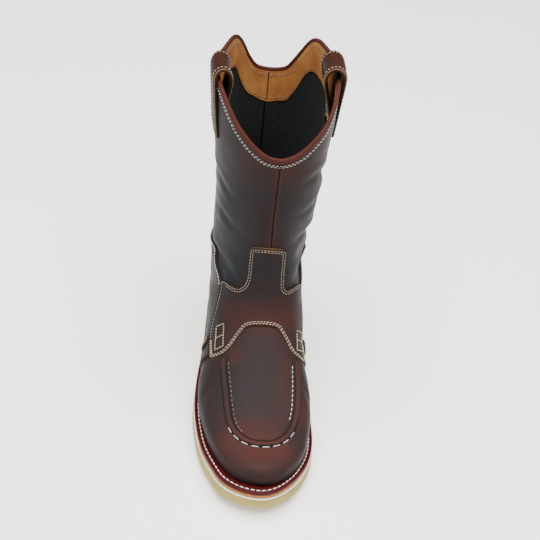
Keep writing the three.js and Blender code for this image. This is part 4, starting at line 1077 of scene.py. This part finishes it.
# Both ends run on by three steps, up to the saddle's edge
moc_line = np.vstack([2 * moc_line[0] - moc_line[3], moc_line, 2 * moc_line[-1] - moc_line[-4]])
moc_steps = len(moc_line)
# The ridge's profile, in shares of its width and its height
RIDGE = [(-0.57, -0.1), (-0.52, 0.3), (-0.44, 0.52), (-0.36, 0.45), (-0.29, 0.14), (-0.22, 0.5),
         (-0.05, 0.9), (0.12, 1.0), (0.3, 0.88), (0.44, 0.55), (0.52, -0.1), (0.0, -0.12)]
moc_reach = np.arange(moc_steps) * MOC_STEP
gather = 1 - 0.1 * np.exp(-((np.mod(moc_reach, 10.3) - 5.1) / 1.6) ** 2)
thin_end = np.clip(np.minimum(moc_reach, moc_reach[::-1]) / 1.2, 0, 1) ** 0.5
moc_points = np.stack([on_leather(beside(moc_line, across * RIDGE_WIDTH),
                                  0.1 + RIDGE_HEIGHT * up * gather * thin_end)[0]
                       for across, up in RIDGE], 1)
# Redder along the crown; darker in the fold between the two rolls and at both feet, a painted
# shade
moc_tone = np.repeat(np.clip(warmth(form_point(*moc_line.T)), 0, 0.75)[:, None], 12, 1)
moc_tone[:, 6:9] += 0.15
moc_tone[:, 0:2] -= 0.5
moc_tone[:, 4] -= 0.6
moc_tone[:, 9:] -= 0.4
ridge = piece("moc_ridge", moc_points, grid_faces(moc_steps, 12, wrap=True), [hide],
              75, {"warmth": moc_tone})
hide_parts("moc_seam")
# Dark cords in the fold and along the outer foot: painted shadow lines
for label, across, lift in (("moc_fold_shadow", -0.29, 0.5), ("moc_foot_shadow", 0.5, 0.1)):
    line = beside(moc_line, across * RIDGE_WIDTH)[2:-2]
    cord(label, *on_leather(line, lift), 0.75, 0.3, dark_thread_and_shadow)

# %% Moc stitches: shares of the seam, distance from it, height, pitch, length and thickness
moc_rows = []
for first, last, distance, height, *sizes in (
        (0.02, 0.4, -4.1, 0.1, 4.6, 3.0, 0.5),
        (0.7, 0.99, -4.1, 0.1, 4.6, 3.2, 0.54),
        (0.33, 0.68, 3.75, 0.2, 9.6, 7.0, 0.6)):
    part = moc_line[int(first * moc_steps):int(last * moc_steps)]
    moc_rows.append(stitches(*on_leather(beside(part, distance), height), *sizes))
sew("moc_stitches", moc_rows[1:], bright_thread)
sew("moc_inner_stitches", moc_rows[:1], dull_thread)

# %% [markdown]
# ## Collar binding
# A strip of soft leather is folded over the top edge and stitched through all the layers. It is
# a rounded roll swept round the rim, square to the wall at every step.

# %% Binding and its stitches
rim_angles = np.arange(0, 360, 1.0)
rim_places = rim_place(rim_angles)
for _ in range(3):
    rim_places = (np.roll(rim_places, 1) + rim_places * 2 + np.roll(rim_places, -1)) / 4
rim_points, rim_out = skin(rim_places, rim_angles)
rim_up = np.cross(rim_out, unit(np.roll(rim_points, -1, 0) - np.roll(rim_points, 1, 0)))
rim_up *= np.sign(rim_up[:, 2:])
# The roll's profile in millimetres out of the wall and up along it
ROLL = [(0.05, -1.5), (0.45, -1.4), (0.62, -0.6), (0.66, 0.7), (0.5, 1.9), (0.0, 2.6),
        (-1.1, 2.95), (-2.2, 2.6), (-2.7, 1.9), (-2.88, 0.7), (-2.85, -1.4), (-2.3, -1.6)]
rolled = np.stack([rim_points + rim_out * off + rim_up * lift for off, lift in ROLL], 1)
binding = piece("collar_binding_leather", rolled, hoop_faces(360, 12), [binding_hide],
                60, {"warmth": np.full(rolled.shape[:2], 0.5)})
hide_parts("collar_binding")

# %% Collar stitches, started at the back where a row ends out of sight
COLLAR_PITCH = 3.3
from_back = np.append(np.roll(np.arange(360), 180), 180)
edge_spots, edge_out, edge_up = rim_points[from_back], rim_out[from_back], rim_up[from_back]
collar_rows = []
for start, drop in ((0, 4.3), (COLLAR_PITCH / 2, 6.0)):
    lower = edge_spots - edge_up * drop
    lower += edge_out * relief(lower)[:, None]
    collar_rows.append(stitches(lower, edge_out, COLLAR_PITCH, 2.15, 0.52, start))
sew("collar_stitches", collar_rows, collar_thread)

# %% Inside: a fine row under the binding, one along the facing's hem, and the back's seams
around = np.append(np.roll(facing_angles, 120), 180.0)
hem, hem_out = skin(smooth_row(FACING, "angle", "low", around) + 0.1, around, -2.95)
sew("facing_stitches",
    [stitches(edge_spots - edge_out * 3.0 - edge_up * 3.9, -edge_out, 2.9, 2.0, 0.5),
     stitches(hem, -hem_out, 2.9, 2.1, 0.5)], dull_thread)
for label, first, last, steps, angle, depth, wide, tall in (
        ("facing_seam", float(rim_places[180]) - 0.04, 25.12, 20, 180.0, -3.05, 0.8, 0.4),
        ("lining_seam", 25.0, 12.5, 60, 181.0, -2.2, 1.4, 0.7)):
    cord(label, *skin(np.linspace(first, last, steps), angle, depth), wide, tall, dark_thread_and_shadow)

# %% [markdown]
# ## Pull straps
# A loop of doubled strap is sewn inside and outside the collar on each side and stands in an
# arch over the rim. Its path is a line in the plane across the boot; its width runs along the
# boot, and its cut edges stay tan.

# %% Strap path
STRAP_WIDTH = 32
STRAP_THICK = 3.2
STRAP_FOOT = 1.7
STRAP_DROP = 56
STRAP_HEADROOM = 8.6
STRAP_STAND_OUT = {-1: 1.1, 1: 2.2}
STRAP_STAND_IN = {-1: 7.1, 1: 8.8}
BINDING_HEIGHT = 2.6
STRAP_ALONG = {-1: 0.676, 1: 0.716}
LEG = [(0, 1), (0.02, 0.8), (0.2, 0.55), (0.6, 0.3), (0.94, 0.1)]


def side_place(side, y, z):
    """Place and angle on one side of the shaft at depths and heights."""
    place = np.full(y.shape, LAST - 4.0)
    angle = np.full(y.shape, 90.0 * side)
    for _ in range(14):
        here, by_place, by_angle = slopes(place, angle)
        det = by_place[..., 1] * by_angle[..., 2] - by_place[..., 2] * by_angle[..., 1]
        dy, dz = y - here[..., 1], z - here[..., 2]
        place = np.minimum(place + (dy * by_angle[..., 2] - dz * by_angle[..., 1]) / det,
                           LAST - 0.1)
        angle = angle + (dz * by_place[..., 1] - dy * by_place[..., 2]) / det
    return place, angle


def strap_path(side):
    """Where the strap runs, out of the wall and up from the rim, and its thickness."""
    inner_gap = 3 * GAP
    stand_out, stand_in = STRAP_STAND_OUT[side], STRAP_STAND_IN[side]
    opening = stand_out + LEATHER + stand_in
    knots = [(GAP + off * (stand_out - GAP), -drop * STRAP_DROP) for off, drop in LEG]
    knots += [(stand_out - opening * (1 - np.cos(half)) / 2, STRAP_HEADROOM * np.sin(half))
              for half in np.linspace(0, np.pi, 15)]
    knots += [(-LEATHER - inner_gap - off * (stand_in - inner_gap), -drop * STRAP_DROP)
              for off, drop in LEG[::-1]]
    row = np.linspace(0, len(knots) - 1, 600)
    fine = np.stack([between(column, row) for column in np.array(knots).T], -1)
    reach = reach_along(fine)
    path = at_reach(np.linspace(0, reach[-1], 150), reach, fine)
    way = unit(np.gradient(path, axis=0))
    down = np.clip(-path[:, 1], 0, None) / STRAP_DROP
    thick = STRAP_THICK + (STRAP_FOOT - STRAP_THICK) * down
    return path, np.stack([way[:, 1], -way[:, 0]], -1) * thick[:, None]


# %% Strap
BAND = [(-0.5, 0.12), (-0.5, 0.45), (-0.5, 0.72), (-0.49, 0.98), (-0.46, 1.03), (-0.4, 1.0),
        (-0.25, 0.99), (0.0, 0.99), (0.25, 0.99), (0.4, 1.0), (0.46, 1.03), (0.49, 0.98),
        (0.5, 0.72), (0.5, 0.45), (0.5, 0.12), (0.48, 0.0), (0.25, 0.0), (0.0, 0.0),
        (-0.25, 0.0), (-0.48, 0.0)]


def strap_point(side, path, away, across, thick):
    """Points of the strap at a share of its width and of its thickness."""
    rim = top_height(np.array(90.0 * side), np.array(collar_middle)) + GAP + BINDING_HEIGHT
    y = np.full(len(path), STRAP_ALONG[side] * SOLE_LENGTH + across * STRAP_WIDTH)
    z = rim + path[:, 1]
    wall = form_point(*side_place(side, y, z))[:, 0]
    shift = away * thick
    return np.stack([wall + side * (path[:, 0] + shift[:, 0]), y, z + shift[:, 1]], -1)


def pull_strap(side, name):
    path, away = strap_path(side)
    rings = np.stack([strap_point(side, path, away, across, thick)
                      for across, thick in BAND], 1)
    faces = grid_faces(len(path), len(BAND), wrap=True)
    if side < 0:
        faces = faces[:, ::-1]
    ends = [list(range(len(BAND))),
            list(range((len(path) - 1) * len(BAND), len(path) * len(BAND)))]
    cut = np.isin(np.arange(len(faces)) % len(BAND), [2, 11])
    print(f"{name}: {reach_along(path)[-1]:.1f} mm long when laid flat")
    tone = 0.42 + 0.5 * np.clip(path[:, 1] / 5 + 0.7, 0, 1)
    if side < 0:
        tone -= 0.34 * np.clip(path[:, 0] / 3, 0, 1) * np.clip(-path[:, 1] / 10, 0, 1)
    strap = piece(name + "_leather", rings, faces.tolist() + ends, [strap_hide, cut_edge],
                  60, {"warmth": np.repeat(tone[:, None], len(BAND), 1)},
                  np.append(cut, [True, True]))
    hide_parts(name)

    def row(steps, across, *sizes):
        part = path[steps], away[steps]
        spots = strap_point(side, *part, across, 1.0)
        return stitches(spots, strap_point(side, *part, across, 1.5) - spots, *sizes)
    slant = np.linspace(-0.36, 0.36, 12)
    rows = [row(slice(None), across, 3.3, 2.3, 0.6) for across in (-0.4, 0.4)]
    rows += [row(steps, across, 3.0, 2.4, 0.8) for steps in (slice(8, 20), slice(130, 142))
             for across in (slant, -slant)]
    sew(name + "_stitches", rows, waxed_thread)


pull_strap(-1, "pull_strap_lateral")
pull_strap(1, "pull_strap_medial")

# %% [markdown]
# ## Small tabs and seams
# A small tab guards the lower end of each side seam. The shaft's front seam is a closed seam
# with its edges turned in, so it shows as a groove with a row of tiny stitches; the groove's
# shadow is painted in dark.


# %% Seam tabs
TAB_PLACE, TAB_TALL, TAB_WIDE, TAB_THICK = 12.25, 0.34, 15.0, 1.6
TAB_ROWS, TAB_COLUMNS = 14, 22


def seam_tab(side, name):
    """A patch over the lower end of a side seam, with a wall down to the leather below."""
    start = float(seam_angle(TAB_PLACE)) + 1.4
    lower = GAP * 2 + OVERLAY
    u, v = np.meshgrid(np.linspace(0, 1, TAB_COLUMNS), np.linspace(-0.5, 0.5, TAB_ROWS))
    places = TAB_PLACE + TAB_TALL * v
    angles = side * (start + TAB_WIDE * u)
    rim = np.minimum(np.minimum(u, 1 - u) * 14, np.minimum(v + 0.5, 0.5 - v) * 9)
    rounded = 0.55 + 0.45 * np.sqrt(1 - (1 - np.clip(rim, 0, 1)) ** 2)
    top, _ = skin(places, angles, lower + TAB_THICK * rounded)
    ids = np.arange(top[..., 0].size).reshape(TAB_ROWS, TAB_COLUMNS)
    border = np.concatenate([ids[0, :-1], ids[:-1, -1], ids[-1, :0:-1], ids[:0:-1, 0]])
    foot, _ = skin(places.ravel()[border], angles.ravel()[border], lower)
    below = ids.size + np.arange(len(border))
    wall = np.stack([border, below, np.roll(below, -1), np.roll(border, -1)], -1)
    faces = np.vstack([grid_faces(TAB_ROWS, TAB_COLUMNS), wall])[:, ::-side]
    # The tab's wall takes the dark finish, a painted shadow line
    tab = piece(name + "_leather", np.vstack([top.reshape(-1, 3), foot]), faces,
                [hide, edge_shadow_finish], 60,
                {"warmth": np.full(ids.size + len(border), 0.35)},
                np.arange(len(faces)) >= len(faces) - len(border))
    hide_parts(name)
    near, far = side * (start + 2), side * (start + TAB_WIDE - 2)
    low, high = TAB_PLACE - 0.1, TAB_PLACE + 0.1
    line = even_line([(low, near), (low, far), (high, far), (high, near), (low, near)], 0.8,
                     smooth=False)
    spots, out = skin(*line.T, lower + TAB_THICK)
    sew(name + "_stitches", [stitches(spots, out, 2.6, 2.0, 0.7)], waxed_thread)


seam_tab(-1, "seam_tab_lateral")
seam_tab(1, "seam_tab_medial")


# %% Front and back seams of the shaft
# Across the seam: distance from it, lift of the leather and its tone; the tone drops into the
# groove as painted shade
LIPS = [(-2.2, -0.1, 0.6), (-1.5, 0.25, 0.68), (-0.8, 0.34, 0.7), (-0.35, 0.1, 0.3),
        (0, -0.1, 0.0), (0.35, 0.1, 0.3), (0.8, 0.34, 0.7), (1.5, 0.25, 0.68), (2.2, -0.1, 0.6)]


def shaft_seam(name, first, last, angle):
    """A dark cord lying in the seam's groove as a painted shadow, between two soft lips of
    leather.
    """
    line = even_line([(first, angle), (last, angle)], 1.0, smooth=False)
    rings = np.stack([on_leather(beside(line, across), lift)[0] for across, lift, _ in LIPS], 1)
    piece(name, rings, grid_faces(len(line), len(LIPS)), [hide], 70,
          {"warmth": np.tile([tone for _, _, tone in LIPS], (len(line), 1))})
    # Painted shadow: a dark cord in the groove
    cord(name + "_line", *on_leather(line, 0.06), 0.85, 0.34, dark_thread_and_shadow)
    row = stitches(*on_leather(beside(line, 0.75), 0.25), 2.4, 1.6, 0.4)
    sew(name + "_stitches", [row], dark_thread_and_shadow)


shaft_seam("front_seam", float(rim_places[0]) - 0.28, 17.1, SEAM_ANGLE)
shaft_seam("back_seam", float(rim_places[180]) - 0.28, 21.75, 180.0)

# %% [markdown]
# ## Welt and wedge sole
# Under the upper lie the dyed welt, a leather midsole, a thin white layer and the crepe wedge.
# Each is a plate that follows one outline, with its own rounded edge. The welt's top is nicked
# by the wheel that marks the stitches, and the crepe's lower edge is cut by the tread's grooves.


# %% Plates
# A flat face is netted wide across and fine along, as its height changes only along the boot
NET_ACROSS = 11.0
NET_ALONG = 1.1


def plate(name, levels, material, replaced):
    """A plate from rings; each level gives its inset, its height and its pull back at the toe."""
    rings = []
    for inset, height, tuck in levels:
        flat = ring + ring_in * np.reshape(inset, (-1, 1))
        near = np.clip(1 - flat[:, 1] / (SOLE_LENGTH * 0.2), 0, None)
        y = flat[:, 1] + tuck * near ** 2
        rings.append(np.stack([flat[:, 0], y, height(y)], -1))
    points = np.vstack(rings)
    faces = grid_faces(len(rings), RING_STEPS, wrap=True).tolist()
    for level, height in ((0, levels[0][1]), (len(rings) - 1, levels[-1][1])):
        edge = rings[level][:, :2]
        low, high = edge.min(0), edge.max(0)
        net = np.stack(np.meshgrid(np.arange(low[0] + 4, high[0], NET_ACROSS),
                                   np.arange(low[1] + 1, high[1], NET_ALONG)), -1)
        net = net.reshape(-1, 2)
        gap = np.linalg.norm(net[:, None] - edge[None, ::6], axis=2).min(1)
        net = net[inside_line(net, edge) & (gap > 1.5)]
        cut = delaunay_2d_cdt([Vector(p) for p in np.vstack([edge, net])], [],
                              [list(range(len(edge)))], 1, 1e-6)
        spots = np.array([tuple(v) for v in cut[0]])
        start = len(points)
        points = np.vstack([points, np.column_stack([spots, height(spots[:, 1])])])
        up = level > 0
        for f in cut[2]:
            a, b, c = spots[list(f[:3])]
            left = (b[0] - a[0]) * (c[1] - a[1]) - (b[1] - a[1]) * (c[0] - a[0]) > 0
            order = list(f) if left == up else list(f)[::-1]
            faces.append([start + k for k in order])
    made = piece(name, points, faces, [material], 45)
    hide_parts(replaced)
    return made


# %% Crepe outsole
GROOVE_DEPTH = 2.2
GROOVE_WIDTH = 3.4
GROOVE_PITCH = 13
CREPE_SWELL = 0.5  # pressed in the mould, the soft crepe laps over the white layer's foot


def groove(y):
    inside = (y > 1.5 * GROOVE_PITCH) & (y < SOLE_LENGTH - GROOVE_PITCH)
    off = np.abs(np.mod(y + GROOVE_PITCH / 2, GROOVE_PITCH) - GROOVE_PITCH / 2)
    return np.where(inside, GROOVE_DEPTH * np.clip((GROOVE_WIDTH / 2 + 0.4 - off) / 0.8, 0, 1), 0)


def crepe_level(share):
    def height(y):
        plain = tread(y) + (crepe_top(y) + CREPE_SWELL - tread(y)) * share
        return np.maximum(plain, tread(y) + groove(y) + 0.4 * share)
    return height


notch = 0.6 * np.clip(0.5 + 2 * np.sin(2 * np.pi * ring_reach / 6.5), 0, 1)
notch *= np.clip(ring[:, 1] / 30 - 1.2, 0, 1)
crepe_levels = [
    (1.5 + notch, crepe_level(0.0), 3.5), (0.9 + notch, crepe_level(0.03), 3.4),
    (0.3 + notch, crepe_level(0.12), 3.1), (-0.4 + 0.9 * notch, crepe_level(0.3), 2.5),
    (-0.9 + 0.5 * notch, crepe_level(0.5), 1.8), (-0.7, crepe_level(0.7), 1.1),
    (-0.3, crepe_level(0.88), 0.4), (0.0, crepe_level(0.97), 0.1), (0.4, crepe_level(1.0), 0.0),
]
crepe_sole = plate("crepe_wedge_sole", crepe_levels, crepe, "outsole")
rib = crepe_sole.data.attributes.new("rib", "FLOAT", "POINT")
heights = np.array([v.co.z for v in crepe_sole.data.vertices]) * 1000
phase = np.zeros(len(heights))
side_count = len(crepe_levels) * RING_STEPS
phase[:side_count] = np.tile(ring_reach, len(crepe_levels)) + heights[:side_count] * 0.9
rib.data.foreach_set("value", (phase * 2 * np.pi / 1.6).astype(np.float32))

# %% White layer, midsole and welt


def over(surface, lift):
    return lambda y: surface(y) + lift


plate("white_foxing", [
    (0.3, over(crepe_top, GAP + CREPE_SWELL), 0), (-0.2, over(crepe_top, GAP + 0.8), 0),
    (-0.4, over(crepe_top, GAP + 1.4), 0), (-0.3, over(rand_top, -0.5), 0),
    (0.1, over(rand_top, 0), 0)], white_rubber, "rand")
plate("leather_midsole", [
    (1.1, over(rand_top, GAP), 0), (1.0, over(rand_top, GAP + 0.55), 0),
    (0.4, over(rand_top, GAP + 0.95), 0), (0.3, over(midsole_top, -0.5), 0),
    (0.8, over(midsole_top, 0), 0)], midsole_hide, "midsole")


WELT_PITCH = 5.0


def welt_rings():
    """A ring with nicks across its top, one for each stitch."""
    nick = 0.45 * np.exp(-((np.mod(ring_reach, WELT_PITCH) - WELT_PITCH / 2) / 0.6) ** 2)
    levels = [(WELT_BAND, midsole_top, GAP, 0), (0.5, midsole_top, GAP, 0),
              (0.15, midsole_top, GAP + 0.5, 0), (0.1, midsole_top, GAP + 1.7, 0),
              (0.3, welt_top, -0.5, 0.2), (0.9, welt_top, -0.08, 0.5), (1.8, welt_top, 0, 0.5),
              (2.9, welt_top, -0.1, 0.4), (3.6, welt_top, -0.45, 0), (4.3, welt_top, -0.1, 0.9),
              (5.2, welt_top, 0, 1.3), (6.4, welt_top, 0, 1.2), (8, welt_top, 0, 0),
              (WELT_BAND, welt_top, 0, 0)]
    rings = []
    for inset, surface, lift, nicked in levels:
        flat = ring + ring_in * inset
        rings.append(np.column_stack([flat, surface(flat[:, 1]) + lift - nicked * nick]))
    return np.array(rings)


welt_points = welt_rings()
welt = piece("stitched_welt", welt_points, hoop_faces(len(welt_points), RING_STEPS),
             [welt_hide], 55)
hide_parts("welt")

# %% Welt stitches, started at the heel
welt_line = ring + ring_in * 3.6
welt_line = np.column_stack([welt_line, welt_top(welt_line[:, 1]) - 0.35])
welt_line = np.roll(welt_line, -int(np.argmax(welt_line[:, 1])), 0)
welt_line = np.vstack([welt_line, welt_line[:1]])
straight_up = np.tile([0.0, 0, 1], (len(welt_line), 1))
sew("welt_stitches", [stitches(welt_line, straight_up, WELT_PITCH, 3.9, 0.95)], bright_thread)

# %% [markdown]
# ## Studio
# The boot stands on a pale floor in soft light from large panels, which gives the oiled leather
# its long soft sheen. The camera has the photograph's view: from high in front, a little rolled.

# %% Floor and light
floor_finish, floor_shader = new_finish("pale_painted_floor")
floor_place = add(floor_finish, "ShaderNodeTexCoord").outputs["Object"]
floor_noise = add(floor_finish, "ShaderNodeTexNoise", {
    "Vector": floor_place, "Scale": 3.0, "Detail": 2}).outputs["Fac"]
floor_ramp = add(floor_finish, "ShaderNodeValToRGB", {"Fac": floor_noise})
for stop, tone in zip(floor_ramp.color_ramp.elements, ("#fafafa", "#ffffff")):
    stop.color = colour(tone)
link(floor_finish, floor_ramp.outputs["Color"], floor_shader, "Base Color")
floor_shader.inputs["Roughness"].default_value = 0.9
floor_shader.inputs["Emission Color"].default_value = (1, 1, 1, 1)
floor_shader.inputs["Emission Strength"].default_value = 0.4
floor_mesh = bpy.data.meshes.new("studio_floor")
floor_mesh.from_pydata([(-8, -8, 0), (8, -8, 0), (8, 8, 0), (-8, 8, 0)], [], [(0, 1, 2, 3)])
floor_mesh.materials.append(floor_finish)
floor = bpy.data.objects.new("studio_floor", floor_mesh)
bpy.context.scene.collection.objects.link(floor)
floor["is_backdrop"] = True

world = bpy.data.worlds.new("white_studio")
bpy.context.scene.world = world
world.use_nodes = True
world.node_tree.nodes["Background"].inputs["Color"].default_value = (1, 1, 1, 1)
world.node_tree.nodes["Background"].inputs["Strength"].default_value = 0.28


def panel_light(name, place, aim, size, watts):
    data = bpy.data.lights.new(name, "AREA")
    data.shape = "RECTANGLE"
    data.size, data.size_y = size
    data.energy = watts
    light = bpy.data.objects.new(name, data)
    light.location = place
    light.rotation_euler = (Vector(aim) - Vector(place)).to_track_quat("-Z", "Y").to_euler()
    bpy.context.scene.collection.objects.link(light)


print("floor:", floor_finish.name, "and world:", world.name)
panel_light("top_panel", (0, -0.25, 1.9), (0, 0, 0.1), (1.7, 1.7), 125)
panel_light("left_panel", (-1.3, -0.5, 0.9), (0, 0, 0.15), (0.5, 1.3), 4)
panel_light("right_panel", (1.3, -0.3, 0.8), (0, 0, 0.15), (0.4, 1.2), 1.5)

# %% Camera
AZIMUTH, ELEVATION, ROLL_ANGLE = math.radians(4.9), math.radians(36.7), math.radians(5.7)
DISTANCE = 1.4001
TARGET = Vector((0.00386, -0.00225, 0.1536))
back = Vector((-math.sin(AZIMUTH) * math.cos(ELEVATION),
               -math.cos(AZIMUTH) * math.cos(ELEVATION), math.sin(ELEVATION)))
right = (-back).cross(Vector((0, 0, 1))).normalized()
up = right.cross(-back)
turned_right = right * math.cos(ROLL_ANGLE) + up * math.sin(ROLL_ANGLE)
turned_up = up * math.cos(ROLL_ANGLE) - right * math.sin(ROLL_ANGLE)
camera_data = bpy.data.cameras.new("camera")
camera_data.lens = 106.5
camera_data.sensor_width = 36
camera = bpy.data.objects.new("camera", camera_data)
bpy.context.scene.collection.objects.link(camera)
spin = Matrix((turned_right, turned_up, back)).transposed().to_4x4()
camera.matrix_world = Matrix.Translation(TARGET + back * DISTANCE) @ spin
bpy.context.scene.camera = camera
print("camera at", [round(value, 3) for value in camera.matrix_world.translation])

# %% Sizes and finish
visual_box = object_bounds()
sizes = {key: [list(corner) for corner in box]
         for key, box in (("model", model_box), ("visual", visual_box))}
print("sizes:", sizes)
